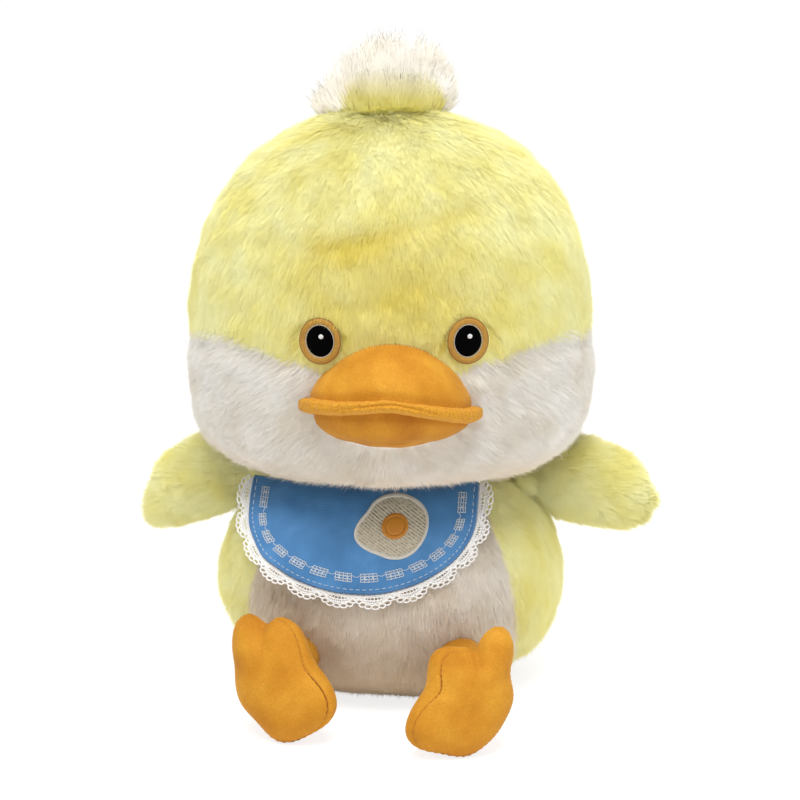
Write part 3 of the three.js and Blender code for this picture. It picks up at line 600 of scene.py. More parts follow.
def furHead():
    bm = headSkin()
    roots, normals = scatterOn(bm, headFur["density"])
    # Bare places: under the eyes and bill, and the flat seat on the neck.
    eyes, fromEye = fromEyes(roots)
    atBill = fromBill(roots)
    seated = (roots[:, 2] < 1) & (np.hypot(roots[:, 0], roots[:, 1]) < headFur["seatRadius"])
    keep = (eyes > headFur["bareRoundEyes"]) & (atBill > headFur["bareRoundBill"]) & ~seated
    roots, normals, eyes, fromEye, atBill = (a[keep] for a in (roots, normals, eyes, fromEye, atBill))
    # The yellow nap hangs over the seam, so its roots begin a little above it.
    lift = headFur["seamLiftMm"] * np.clip(np.abs(roots[:, 0]) / 60 - 0.2, 0, 1)
    cheeks = inCheeks(roots, lift)
    creased, fromLine = fromCrease(roots)
    # The nap runs down and outwards from behind the crest, and away from the crease, the eyes and the bill.
    out = unit((roots[:, :2] - (-3, 34)) * (1, 0.7))
    flow = np.stack([out[:, 0] * 0.7, out[:, 1] * 0.7, np.full(len(roots), -1.0)], axis=1)
    flow[cheeks] = np.stack([
        np.tanh(roots[cheeks, 0] / 26) * 0.75 + roots[cheeks, 0] * 0.004, np.full(cheeks.sum(), 0.1),
        np.full(cheeks.sum(), -0.75),
    ], axis=1)
    creaseShare = np.exp(-(creased / 11) ** 2)[:, None]
    flow[:, [0, 2]] += fromLine * creaseShare * 0.7
    eyeShare = np.exp(-((eyes - 1) / 0.4) ** 2)[:, None]
    flow[:, [0, 2]] += fromEye * eyeShare * 1.2
    lengths = np.where(cheeks, headFur["cheekLengthMm"], headFur["crownLengthMm"])
    lengths = lengths * np.clip(0.5 + (eyes - 0.98) * 1.2, 0.5, 1)
    lengths = lengths * np.clip(0.4 + (atBill - headFur["bareRoundBill"]) * 2.0, 0.4, 1)
    crown = ~cheeks
    shade = headShade(roots)
    growPile("crown_pile", roots[crown], normals[crown], flow[crown], lengths[crown], shade[crown], crownPile,
             headPlace, "head", yellowPile, facingFront(normals[crown]))
    growPile("cheek_pile", roots[cheeks], normals[cheeks], flow[cheeks], lengths[cheeks], shade[cheeks],
             cheekPile, headPlace, "head", whitePile, facingFront(normals[cheeks]))
    makePiece("crown_skin", keepFaces(bm, lambda centres: ~inCheeks(centres)), headPlace, "head",
              yellowBacking, "head_crown")
    makePiece("cheek_skin", keepFaces(headSkin(), inCheeks), headPlace, "head", whiteBacking,
              "head_cheeks")


furHead()
print("head furred")


# Body

bodyFur = dict(
    sink=2.0, columns=148, rows=96, density=6.5, backLengthMm=7.5, bellyLengthMm=7.0, lumpsMm=1.4,
    tuftsMm=0.7, seamDepthMm=1.8, seamWidthMm=4.5, hemMm=1.1,
)
bodyPile = dict(crownPile, clumpMm=5.0)
bellyPile = dict(cheekPile, mood=0.35)
# Where the wings and legs sit in the body, each with a round root.
shoulders = dict(left=(-61, 3, 91), right=(61, 3, 92.5))
hips = dict(left=(-37, -61, 28), right=(37, -61, 28))
shoulderRadius = 9.5
hipRadius = 12.5
limbRoots = [(place, shoulderRadius) for place in shoulders.values()]
limbRoots += [(place, hipRadius) for place in hips.values()]


def furBody():
    bm = plumpSkin(bodyForm, -bodyFur["sink"], bodyFur["columns"], bodyFur["rows"])
    addLumps(bm, bodyFur["lumpsMm"], 30, 9)
    addLumps(bm, bodyFur["tuftsMm"], 11, 4)
    points = pointsOf(bm)
    normals = normalsOf(bm)
    away = bellyDistance(points) * bellySeam["halfWidth"]
    seam = np.where(points[:, 1] < 0, np.exp(-(away / bodyFur["seamWidthMm"]) ** 2), 0)
    seam = seam * bodyFur["seamDepthMm"]
    low = points[:, 2] < 0.5
    movePoints(bm, points - normals * np.where(low, 0, seam)[:, None])
    roots, normals = scatterOn(bm, bodyFur["density"])
    keep = (roots[:, 2] > -2.5) & (roots[:, 2] < bodyForm["ceiling"] - 1)
    for limb, radius in limbRoots:
        keep &= ((roots - limb) ** 2).sum(axis=1) > (radius - 1) ** 2
    roots, normals = roots[keep], normals[keep]
    belly = inBelly(roots)
    flow = np.stack([roots[:, 0] * 0.004, roots[:, 1] * 0.004, np.full(len(roots), -1.0)], axis=1)
    lengths = np.where(belly, bodyFur["bellyLengthMm"], bodyFur["backLengthMm"])
    # The pile lies short and flat under the bib, and next to the table.
    bibbed = (roots[:, 1] < -20) & (roots[:, 2] > 60) & (np.abs(roots[:, 0] + 8.5) < 62)
    lengths = lengths * np.where(bibbed, 0.62, 1) * np.clip(roots[:, 2] / 10, 0.6, 1)
    back = ~belly
    # Painted shade: the white pile turns warm beige low on the belly and more towards -X, for the shade there
    # and the warm light the orange feet throw back.
    bellyShade = 0.35 + 0.6 * np.exp(-(roots[:, 2] / 34) ** 2) - roots[:, 0] * 0.003
    shade = np.where(belly, np.clip(bellyShade, 0, 1), 0.1)
    growPile("body_pile", roots[back], normals[back], flow[back], lengths[back], shade[back], bodyPile,
             bodyPlace, "torso", yellowPile, facingFront(normals[back]))
    growPile("belly_pile", roots[belly], normals[belly], flow[belly], lengths[belly], shade[belly], bellyPile,
             bodyPlace, "torso", whitePile)
    skins = [
        ("body_skin", lambda c: ~inBelly(c) & (c[:, 2] > bodyFur["hemMm"]), yellowBacking, "yellow_plush",
         "body_back"),
        ("belly_skin", lambda c: inBelly(c) & (c[:, 2] > bodyFur["hemMm"]), whiteBacking, "white_plush",
         "body_belly"),
    ]
    for name, keepThese, material, slot, node in skins:
        makePiece(name, keepFaces(bm.copy(), keepThese), bodyPlace, "torso", material, node)
    bm.free()


bodyBase = dict(radius=40, middle=1.6, halfThickness=1.4, puckers=40, puckerShare=0.006)


# The round panel that it sits on, puffed a little between its seam and the table.
def makeBase():
    bm, up, around = roundBall(72, 24)
    swell = np.maximum(0, 1 - up ** 4) ** 0.25
    puckers = 1 - bodyBase["puckerShare"] * (1 + np.cos(around * bodyBase["puckers"]))
    x, y = (bodyBase["radius"] * swell * puckers * turn for turn in (np.cos(around), np.sin(around)))
    movePoints(bm, np.stack([x, y, bodyBase["middle"] + bodyBase["halfThickness"] * up], axis=1))
    makePiece("base_panel", bm, bodyPlace, "torso", yellowBacking, "body_base")


furBody()
makeBase()
print("body furred")


# Moves, tilts or leans a skin that was made round the origin.
def movedSkin(bm, matrix):
    bmesh.ops.transform(bm, matrix=matrix, verts=bm.verts)
    bm.normal_update()
    return bm


def movedPoints(points, matrix):
    matrix = np.array(matrix)
    return (matrix[:3, :3] @ points.T).T + matrix[:3, 3]


# Whether points lie outside the head's or body's form, grown by some millimetres.
def outsideForm(form, points, grow):
    x = points[:, 0] / (form["halfWidth"] + grow)
    y = points[:, 1] / (form["halfDepth"] + grow)
    level = (points[:, 2] > form["floor"] - grow) & (points[:, 2] < form["ceiling"] + grow)
    return ~((np.sqrt(x * x + y * y) < swellAt(form, points[:, 2])) & level)


# Even points along a smooth curve through some stops.
def smoothCurve(stops, count, closed=False):
    stops = np.array(stops, dtype=float)
    if closed:
        stops = np.vstack([stops[-1:], stops, stops[:2]])
    else:
        stops = np.vstack([2 * stops[:1] - stops[1:2], stops, 2 * stops[-1:] - stops[-2:-1]])
    fine = []
    for a, b, c, d in zip(stops, stops[1:], stops[2:], stops[3:]):
        t = np.linspace(0, 1, 16, endpoint=False)[:, None]
        fine.append(0.5 * (2 * b + (c - a) * t + (2 * a - 5 * b + 4 * c - d) * t ** 2
                           + (3 * b - a - 3 * c + d) * t ** 3))
    fine = np.vstack(fine + [stops[-2:-1]])
    walked = np.concatenate([[0], np.cumsum(np.linalg.norm(np.diff(fine, axis=0), axis=1))])
    wanted = np.linspace(0, walked[-1], count, endpoint=not closed)
    return np.stack([np.interp(wanted, walked, fine[:, k]) for k in range(fine.shape[1])], axis=1)


# Wings

wing = dict(
    length=62, halfHeight=23, halfThickness=13, arch=4, sink=3.4, density=6.5, lengthMm=7.5,
    seamDepthMm=1.3, seamWidthMm=2.2,
    profile=[(0, 0), (0.13, 0.42), (0.2, 0.62), (0.27, 0.79), (0.42, 0.97), (0.56, 1), (0.76, 0.91),
             (0.93, 0.58), (1, 0)],
)
wingPile = dict(crownPile, rootLean=62, tipLean=76, clumpMm=5.5, clumpPull=0.34, stray=0.22, mood=0.42)
# Each wing's side, its place and turn, and how far its tip drops.
wingSides = [
    ("left", Matrix.Translation(shoulders["left"]) @ Matrix.Rotation(math.pi - math.radians(12), 4, "Z"), 16),
    ("right", Matrix.Translation(shoulders["right"]), 5),
]


# A wing along +X from its shoulder, with the round root that sits in the body.
def wingSkin(tipDrop, grow):
    bm, up, around = roundBall(80, 72)
    share = np.arccos(-up) / math.pi
    ball = shoulderRadius + grow
    length = wing["length"] + grow
    x = -ball + (length + ball) * (0.5 - 0.5 * np.cos(math.pi * share))
    curve = smoothCurve(wing["profile"], 200)
    swell = np.where(x > 0, np.interp(x / length, curve[:, 0], curve[:, 1]), 0)
    root = np.sqrt(np.maximum(0, ball ** 2 - x ** 2))
    along = np.clip(x / length, 0, 1)
    middle = wing["arch"] * np.sin(math.pi * along) - tipDrop * along ** 2
    y = np.maximum((wing["halfThickness"] + grow) * swell, root) * np.cos(around)
    z = np.maximum((wing["halfHeight"] + grow) * swell, root) * np.sin(around) + middle
    movePoints(bm, np.stack([x, y, z], axis=1))
    addLumps(bm, 1.2, 22, 5)
    addLumps(bm, 0.6, 9, 6)
    return bm


def furWings():
    for word, turned, tipDrop in wingSides:
        place = bodyPlace @ turned
        bm = wingSkin(tipDrop, -wing["sink"])
        # The seam between front and back, along the edge.
        points = pointsOf(bm)
        normals = normalsOf(bm)
        groove = np.exp(-(points[:, 1] / wing["seamWidthMm"]) ** 2) * wing["seamDepthMm"]
        groove = groove * (points[:, 0] > 12)
        movePoints(bm, points - normals * groove[:, None])
        roots, normals = scatterOn(bm, wing["density"])
        keep = outsideForm(bodyForm, movedPoints(roots, turned), -3) & (roots[:, 0] > -6)
        roots, normals = roots[keep], normals[keep]
        along = np.clip(roots[:, 0] / wing["length"], 0, 1)
        flow = np.stack([np.ones(len(roots)), np.zeros(len(roots)), roots[:, 2] * 0.012 - 0.25 * along - 0.1],
                        axis=1)
        lengths = wing["lengthMm"] * (0.95 + 0.25 * along)
        front = -1 if word == "right" else 1
        growPile("wing_" + word + "_pile", roots, normals, flow, lengths, 0, wingPile, place, "wing_" + word,
                 yellowPile, facingFront(normals + (0, 0, 0.25), 0.9, front))
        for half, sign in (("front", front), ("back", -front)):
            makePiece("wing_" + word + "_" + half + "_skin",
                      keepFaces(bm.copy(), lambda centres: centres[:, 1] * sign > 0), place, "wing_" + word,
                      yellowBacking, "wing_" + word + "_" + half)
        bm.free()


furWings()
print("wings furred")


# Tail

tail = dict(halfWidth=13, halfDepth=10, length=21, height=30, tilt=35, sink=2.5, density=6.5, lengthMm=8)


def furTail():
    form = dict(
        halfWidth=tail["halfWidth"], halfDepth=tail["halfDepth"], waist=0, rise=tail["length"],
        drop=tail["length"], topSquare=0, bottomSquare=0, sideSquare=0, floor=-tail["length"] / 2,
        ceiling=math.inf,
    )
    reach = bodyForm["halfDepth"] * float(swellAt(bodyForm, tail["height"]))
    turned = Matrix.Translation((0, reach, tail["height"]))
    turned = turned @ Matrix.Rotation(math.radians(tail["tilt"] - 90), 4, "X")
    bm = movedSkin(plumpSkin(form, -tail["sink"], 40, 28), turned)
    addLumps(bm, 0.8, 14, 2)
    roots, normals = scatterOn(bm, tail["density"])
    keep = outsideForm(bodyForm, roots, -2)
    roots, normals = roots[keep], normals[keep]
    out = np.array(turned.to_3x3() @ Vector((0, 0, 1)))
    flow = np.tile(out, (len(roots), 1)) + (roots - np.array(turned.translation)) * 0.02
    growPile("tail_pile", roots, normals, flow, np.full(len(roots), tail["lengthMm"]), 0.1, wingPile,
             bodyPlace, "torso", yellowPile)
    makePiece("tail_skin", bm, bodyPlace, "torso", yellowBacking, "tail")


furTail()
print("tail furred")


# Crest

crest = dict(
    base=158.2, backHalfWidth=33, backHalfDepth=15, backHeight=36, side=-5, back=7, lean=9, sink=6.5,
    density=6.5, faceHalfWidth=24, faceHalfDepth=7, faceHeight=22, faceBack=-2.5, faceSink=2.5,
    faceDensity=5.5, lengthMm=9.5, faceLengthMm=7, wispShare=0.2, wispMm=(1.0, 4.5), fringeHairs=3000,
    fringeMm=(3, 5.5),
)
crestPile = dict(
    bent=True, strandMm=0.4, lengthSpread=0.16, stray=0.2, leanSpread=0.08, rootLean=32, tipLean=60,
    clumpMm=5.0, clumpPull=0.36, softness=0.85, mood=0.35, guardShare=0.05,
)
crestFacePile = dict(crestPile, clumpMm=4.5, clumpPull=0.2, rootLean=52, tipLean=68, stray=0.2)
fringePile = dict(crestPile, clumpMm=3.0, clumpPull=0.15, rootLean=50, tipLean=56)

# The face of the crest is olive yellow at its foot and turns white towards its top.
crestYellowPile = pileMaterial(
    "olive yellow polyester pile turning white", ("#cfc574", "#d8cf86", "#e0d99a"),
    ("#c5ba62", "#d0c676", "#dad18a"), "#f4efc8",
)


def whitenUpwards(material, fromMm, toMm):
    tree = material.node_tree
    shader = next(node for node in tree.nodes if node.type == "BSDF_PRINCIPLED")
    yellow = shader.inputs["Base Color"].links[0].from_socket
    coordinates = addNode(tree, "ShaderNodeTexCoord").outputs["Object"]
    height = addNode(tree, "ShaderNodeSeparateXYZ", {0: coordinates}).outputs["Z"]
    share = addNode(tree, "ShaderNodeMapRange", {0: height, 1: fromMm * mm, 2: toMm * mm}).outputs[0]
    tree.links.new(addMix(tree, share, yellow, linear("#e9e5da")), shader.inputs["Base Color"])


whitenUpwards(crestYellowPile, 275, 289)


def crestSkin(halfWidth, halfDepth, height, side, back, lean, sink):
    form = dict(
        halfWidth=halfWidth, halfDepth=halfDepth, waist=0, rise=height, drop=height, topSquare=0.35,
        bottomSquare=0, sideSquare=0.1, floor=-height / 2, ceiling=math.inf,
    )
    leaned = Matrix.Identity(4)
    leaned[0][2] = lean / height
    place = Matrix.Translation((side, back, crest["base"])) @ leaned
    bm = movedSkin(plumpSkin(form, -sink, 56, 40), place)
    # Its left side is steep above and spreads at its foot.
    points = pointsOf(bm)
    left = np.minimum(points[:, 0] - side, 0)
    points[:, 0] -= left * 0.2 * np.clip((points[:, 2] - crest["base"] - 6) / height, 0, 1) ** 0.6
    movePoints(bm, points)
    addLumps(bm, 1.2, 11, 4)
    return bm


def furCrest():
    bm = crestSkin(crest["backHalfWidth"], crest["backHalfDepth"], crest["backHeight"], crest["side"],
                   crest["back"], crest["lean"], crest["sink"])
    roots, normals = scatterOn(bm, crest["density"])
    # The yellow face stays bare of white pile.
    covered = np.hypot(roots[:, 0] / 20, (roots[:, 2] - crest["base"]) / 17) < 1
    face = (normals[:, 1] < -0.25) & covered
    keep = outsideForm(headForm, roots, -3) & ~face
    roots, normals = roots[keep], normals[keep]
    up = np.clip((roots[:, 2] - crest["base"]) / crest["backHeight"], 0, 1)
    out = unit((roots - (crest["side"] + 2, crest["back"], 0)) * (1, 1, 0))
    # Wisps sweep out to the sides at the foot, most of all on the left, and stand up at the top.
    sweep = 0.12 + 1.5 * np.clip(0.45 - up, 0, 1) * np.where(roots[:, 0] < crest["side"], 1.0, 0.35)
    flow = out * sweep[:, None] + (0, 0, 1)
    lengths = crest["lengthMm"] + 2.0 * up - 2.5 * np.clip(normals[:, 0], 0, 1)
    wisps = random.random(len(roots)) < crest["wispShare"]
    lengths = lengths + np.where(wisps, random.uniform(*crest["wispMm"], len(roots)), 0)
    growPile("crest_back_pile", roots, normals, flow, lengths, 0, crestPile, headPlace, "head",
             whitePile, facingFront(out * 0.4 + normals * 0.5 + (0, 0, 0.3), 0.9))
    makePiece("crest_back_skin", bm, headPlace, "head", whiteBacking, "crest_back")
    bm = crestSkin(crest["faceHalfWidth"], crest["faceHalfDepth"], crest["faceHeight"], 0,
                   crest["faceBack"], 0, crest["faceSink"])
    roots, normals = scatterOn(bm, crest["faceDensity"])
    keep = outsideForm(headForm, roots, -2) & (normals[:, 1] < 0.5)
    roots, normals = roots[keep], normals[keep]
    flow = np.stack([roots[:, 0] * 0.012, np.zeros(len(roots)), np.ones(len(roots))], axis=1)
    lengths = crest["faceLengthMm"] + 6 * np.clip((roots[:, 2] - crest["base"]) / crest["faceHeight"], 0, 1)
    growPile("crest_front_pile", roots, normals, flow, lengths, 0.3, crestFacePile, headPlace, "head",
             crestYellowPile, unit(normals * 0.5 + (0, -0.8, 0.35)))
    makePiece("crest_front_skin", bm, headPlace, "head", yellowBacking, "crest_front")
    # Short upright hairs of the head stand in a soft line before the crest.
    count = crest["fringeHairs"]
    across = random.normal(0, 14, count).clip(-27, 27)
    depth = -11.0 - random.exponential(1.4, count) + 0.008 * across ** 2
    swell = (across / headForm["halfWidth"]) ** 2 + (depth / headForm["halfDepth"]) ** 2
    heads = headForm["waist"] + headForm["rise"] * (1 - swell) ** 0.41 - 0.4
    roots = np.stack([across, depth, heads], axis=1)
    normals = unit(np.stack([across * 0.006, depth * 0.006, np.ones(count)], axis=1))
    flow = np.tile((0.05, -1.0, 0.0), (count, 1))
    growPile("crest_fringe", roots, normals, flow, random.uniform(*crest["fringeMm"], count), 0, fringePile,
             headPlace, "head", yellowPile, np.tile((0, -0.8, 0.6), (count, 1)))


furCrest()
print("crest furred")


# Eyes: flat-stitched discs with an amber ring, a black middle and a small white glint

eyeStitch = dict(
    pupilHalfWidth=6.1, pupilHalfHeight=7.0, ringRise=0.6, pupilRise=0.85, ringThreads=88, ringThreadMm=0.14,
    pupilThreadMm=0.12, pupilPitchMm=0.5, glintRadius=1.15, glintSide=0.65, glintRise=2.1, outlineMm=0.17,
    outlineStitches=30,
)


# Satin stitch: thread of one colour, whose sheen comes from its fine ridges and is also painted into its
# grain of darker and lighter colour.
def threadMaterial(name, dark, light, grainMm=0.6, roughness=0.42, shine=0.35):
    return grainMaterial(name, dark, light, (grainMm, 3, 0.6), 0.08, roughness, shine)


# Its strong dark and light grain is painted satin sheen.
amberThread = threadMaterial("amber rayon embroidery thread", "#8f6018", "#cc9c3c", 0.9)
amberRimThread = threadMaterial("brown amber rayon embroidery thread", "#7d551e", "#a0722c")
blackThread = threadMaterial("black rayon embroidery thread", "#010101", "#040404", roughness=0.7, shine=0.02)
greyThread = threadMaterial("pale grey stitching thread", "#a79f90", "#d6d0c4", roughness=0.6)
whiteThread = threadMaterial("white rayon embroidery thread", "#bdbdbb", "#e4e4e2")


# A grid wound round a centre: across runs 0 to 1 from its inner to its outer edge.
def woundGrid(turns, rows):
    bm = bmesh.new()
    bmesh.ops.create_grid(bm, x_segments=turns, y_segments=rows, size=0.5)
    flat = pointsOf(bm)
    return bm, (flat[:, 0] + 0.5) * 2 * math.pi, flat[:, 1] + 0.5


def closeGrid(bm, points):
    movePoints(bm, points)
    bmesh.ops.remove_doubles(bm, verts=bm.verts, dist=1e-4)
    bmesh.ops.recalc_face_normals(bm, faces=bm.faces)
    bm.normal_update()
    return bm


# A closed tube of an oval section that runs round an oval, with stitches along it.
def ovalCord(halfWidth, halfHeight, rise, thick, stitches, turns=180):
    bm, around, across = woundGrid(turns, 8)
    section = across * 2 * math.pi
    dent = 1 - 0.35 * (0.5 + 0.5 * np.cos(around * stitches)) ** 4
    out = np.cos(section) * thick * dent
    x = (halfWidth + out) * np.cos(around)
    z = (halfHeight + out) * np.sin(around)
    return closeGrid(bm, np.stack([x, np.sin(section) * thick * dent + rise, z], axis=1))


# Places something made round the origin, facing +Y outwards, at one eye of the face.
def eyePlace(side):
    point, facing = headFront(side * eye["spread"] + eye["side"], eye["height"])
    right = Vector((-facing.y, facing.x, 0))
    turned = Matrix((right, facing, Vector((0, 0, 1)))).transposed().to_4x4()
    return headPlace @ Matrix.Translation(point) @ turned


def makeEyes():
    stitch = eyeStitch
    for side, word in ((-1, "left"), (1, "right")):
        place = eyePlace(side)
        inner = np.array([stitch["pupilHalfWidth"] + 0.3, stitch["pupilHalfHeight"] + 0.3])
        outer = np.array([eye["ringHalfWidth"], eye["ringHalfHeight"]])
        bm, around, across = woundGrid(stitch["ringThreads"] * 4, 14)
        out = inner + (outer - inner) * (0.5 - 0.5 * np.cos(across * math.pi))[:, None]
        arch = np.sin(across * math.pi) ** 0.6
        ridge = np.abs(np.cos(around * stitch["ringThreads"])) * stitch["ringThreadMm"]
        rise = arch * (stitch["ringRise"] + ridge) - (1 - arch) * 0.5
        ring = closeGrid(bm, np.stack([out[:, 0] * np.cos(around), rise, out[:, 1] * np.sin(around)], axis=1))
        makePiece("eye_ring_stitch_" + word, ring, place, "head", amberThread,
                  "eye_ring_" + word)
        bm, around, across = woundGrid(240, 26)
        serrated = 1 + 0.012 * np.sin(around * 60) * across
        x = stitch["pupilHalfWidth"] * across * np.cos(around) * serrated
        z = stitch["pupilHalfHeight"] * across * np.sin(around) * serrated
        dome = np.sqrt(np.maximum(0, 1 - across ** 6))
        ridge = np.abs(np.cos(math.pi * (z + 0.15 * x) / stitch["pupilPitchMm"])) * stitch["pupilThreadMm"]
        pupil = closeGrid(bm, np.stack([x, dome * (stitch["pupilRise"] + ridge) - 0.3, z], axis=1))
        makePiece("eye_pupil_stitch_" + word, pupil, place, "head", blackThread,
                  "eye_pupil_" + word)
        bm, around, across = woundGrid(40, 10)
        x = stitch["glintRadius"] * across * np.cos(around) + stitch["glintSide"]
        z = stitch["glintRadius"] * across * np.sin(around) * 0.95 + stitch["glintRise"]
        ridge = 0.06 * np.abs(np.cos(math.pi * z / 0.4))
        dome = np.sqrt(np.maximum(0, 1 - across ** 4)) * (0.55 + ridge) + stitch["pupilRise"] - 0.35
        glint = closeGrid(bm, np.stack([x, dome, z], axis=1))
        makePiece("eye_glint_stitch_" + word, glint, place, "head", whiteThread,
                  "eye_glint_" + word)
        line = ovalCord(stitch["pupilHalfWidth"] + 0.25, stitch["pupilHalfHeight"] + 0.25, 0.35,
                        stitch["outlineMm"], stitch["outlineStitches"])
        makePiece("eye_outline_" + word, line, place, "head", greyThread)
        rim = ovalCord(eye["ringHalfWidth"] - 0.1, eye["ringHalfHeight"] - 0.1, 0.05, 0.4, 75, 300)
        makePiece("eye_rim_" + word, rim, place, "head", amberRimThread)


makeEyes()
print("eyes stitched")


# Bill

# Short smooth pile: a soft sheen, painted sheen as faint lighter and darker mottling where the pile lies
# another way, and a fine nap.
def minkyMaterial(name, deep, middle, pale):
    material, tree = newMaterial(name)
    napSheenMottle = addNoise(tree, 15, 3, 0.5)
    nap = addNoise(tree, 0.55, 2, 0.6)
    # Painted sheen: the colour runs darker and paler over patches of the nap.
    colour = addRamp(tree, napSheenMottle, [(0.25, deep), (0.5, middle), (0.75, pale)])
    fine = addRamp(tree, nap, [(0.3, "#dadada"), (0.65, "#ffffff")])
    dents = addBump(tree, napSheenMottle, 0.5)
    finishMaterial(tree, {
        "Base Color": addMix(tree, 0.8, colour, fine, "MULTIPLY"), "Roughness": 0.75,
        "Specular IOR Level": 0.2, "Sheen Weight": 0.3, "Sheen Roughness": 0.35,
        "Sheen Tint": linear("#ffdf94"), "Normal": addBump(tree, nap, 0.18, 0.7, dents),
    })
    return material


orangeMinky = minkyMaterial("orange short pile plush", "#c07c1a", "#ce8c25", "#dc9e32")
# A darker copy of the orange plush: painted shade for the bowl under the lip.
shadedMinky = minkyMaterial("orange short pile plush in the mouth", "#b06c18", "#c07e20", "#cf9029")


# The lip's cloth is of small loops, which catch the light as a crinkled grain.
def loopMaterial(name, dark, light):
    material, tree = newMaterial(name)
    loops = addNoise(tree, 0.95, 3, 0.65)
    colour = addRamp(tree, loops, [(0.3, dark), (0.62, light)])
    finishMaterial(tree, {
        "Base Color": colour, "Roughness": 0.85, "Specular IOR Level": 0.2, "Sheen Weight": 0.15,
        "Sheen Tint": linear("#ffd89a"), "Normal": addBump(tree, loops, 0.42),
    })
    return material


lipLoops = loopMaterial("orange looped plush", "#b3741a", "#d69a2e")

billPlace = Matrix.Translation((0, -bill["rootDepth"], bill["rootHeight"]))
billPlace = billPlace @ Matrix.Rotation(math.radians(-bill["tilt"]), 4, "X")
billDome = dict(
    halfWidth=37.4, reach=37, rise=31, seamDepthMm=1.4, seamWidthMm=2.2, puckers=46, puckerMm=0.22,
    dentMm=1.1, narrowing=0.2,
)
billLip = dict(halfWidth=40.6, reach=39, halfThickness=3.3, foldDepthMm=1.0, foldWidthMm=0.75)
billBowl = dict(
    halfWidth=36.2, reach=26, drop=17.6, tuckMm=1.2, seamDrop=15.2, seamWidthMm=0.8, seamDepthMm=0.8,
)


# How the lip's middle line waves up and down across the front, and curls up at its two ends.
def lipWave(x):
    stops = np.array([(-41, 1.2), (-34, 0.7), (-24, 0.0), (-12, 0.3), (0, 0.8), (11, -0.8), (22, -2.4),
                      (31, -3.3), (37, -2.9), (41, -2.0)])
    curve = smoothCurve(stops, 80)
    return np.interp(x, curve[:, 0], curve[:, 1])


def billLobe(form, columns, rows):
    bm, up, around = roundBall(columns, rows)
    power = form.get("power", 2)
    swell = np.maximum(0, 1 - np.abs(up) ** power) ** (1 / power)
    x = form["halfWidth"] * swell * np.cos(around)
    y = form["reach"] * swell * np.sin(around)
    z = up * form["thick"]
    movePoints(bm, np.stack([x, y, z], axis=1))
    return bm, around


# Keeps what stands out of the face, so nothing is buried deep in the head.
def cutInHead(bm, grow):
    return keepFaces(bm, lambda centres: outsideForm(headForm, movedPoints(centres, billPlace), grow))


def makeBill():
    place = headPlace @ billPlace
    bm, around = billLobe(dict(halfWidth=billDome["halfWidth"], reach=billDome["reach"],
                               thick=billDome["rise"]), 112, 72)
    points = pointsOf(bm)
    # A full dome, with a soft pucker where it meets the lip and a slight dent at its left foot.
    away = np.clip(points[:, 2] - billLip["halfThickness"], 0, None)
    tuck = np.exp(-(away / billDome["seamWidthMm"]) ** 2) * billDome["seamDepthMm"]
    radial = unit(points * (1, 1, 0))
    puckers = billDome["puckerMm"] * np.sin(around * billDome["puckers"]) * np.exp(-(away / 3.2) ** 2)
    points = points - radial * (tuck - puckers)[:, None]
    dent = softSpot(points[:, 0], points[:, 2], (-22, 9), (10, 5)) * billDome["dentMm"]
    points[:, 2] += lipWave(points[:, 0]) * np.exp(-(away / 9) ** 2)
    points = points - radial * dent[:, None]
    # The dome narrows towards its top, where it runs up between the eyes.
    points[:, 0] *= 1 - billDome["narrowing"] * np.clip(away / billDome["rise"], 0, 1) ** 0.9
    movePoints(bm, points)
    addLumps(bm, 0.7, 13, 8)
    bm = keepFaces(bm, lambda c: c[:, 2] > billLip["halfThickness"] - 3.5)
    makePiece("bill_dome", cutInHead(bm, -5), place, "head", orangeMinky, "bill_upper")

    bm, around = billLobe(dict(halfWidth=billLip["halfWidth"], reach=billLip["reach"],
                               thick=billLip["halfThickness"], power=3.6), 240, 72)
    addLumps(bm, 0.35, 3.6, 5)
    points = pointsOf(bm)
    radial = unit(points * (1, 1, 0))
    edge = np.clip(np.hypot(points[:, 0] / billLip["halfWidth"], points[:, 1] / billLip["reach"]), 0, 1)
    # The lip is folded double: a dark line runs along the middle of its edge, and fades to the sides.
    line = 0.3 - 1.0 * (np.abs(points[:, 0]) / 19) ** 2
    fold = np.exp(-((points[:, 2] - line) / billLip["foldWidthMm"]) ** 2) * (edge > 0.6)
    fold = fold * billLip["foldDepthMm"] * np.exp(-(points[:, 0] / 23) ** 4)
    ripple = 0.18 * np.sin(around * 31 + 1.0) + 0.12 * np.sin(around * 53)
    points = points - radial * (fold - ripple * (edge > 0.7))[:, None]
    # It swells towards its two ends, which are stuffed round.
    points[:, 2] *= 1 + 0.5 * np.clip(np.abs(points[:, 0]) / billLip["halfWidth"], 0, 1) ** 2
    points[:, 2] += lipWave(points[:, 0]) * np.where(points[:, 1] < 0, 1, 0.4)
    movePoints(bm, points)
    makePiece("bill_lip_fold", cutInHead(bm, -4), place, "head", lipLoops, "bill_lip")

    bm, around = billLobe(dict(halfWidth=billBowl["halfWidth"], reach=billBowl["reach"],
                               thick=billBowl["drop"]), 96, 60)
    points = pointsOf(bm)
    radial = unit(points * (1, 1, 0))
    tuck = np.exp(-((points[:, 2] + billLip["halfThickness"]) / 2.4) ** 2) * billBowl["tuckMm"]
    # A seam runs round the lower edge of the bowl.
    seam = np.exp(-((points[:, 2] + billBowl["seamDrop"]) / billBowl["seamWidthMm"]) ** 2)
    seam = seam * billBowl["seamDepthMm"]
    points = points - radial * (tuck + seam)[:, None]
    points[:, 2] += lipWave(points[:, 0]) * np.exp(-((points[:, 2]) / 8) ** 2)
    movePoints(bm, points)
    addLumps(bm, 0.6, 11, 6)
    bm = keepFaces(bm, lambda c: c[:, 2] < -billLip["halfThickness"] + 3.2)
    makePiece("bill_bowl", cutInHead(bm, -5), place, "head", shadedMinky, "bill_lower")


makeBill()
print("bill sewn")


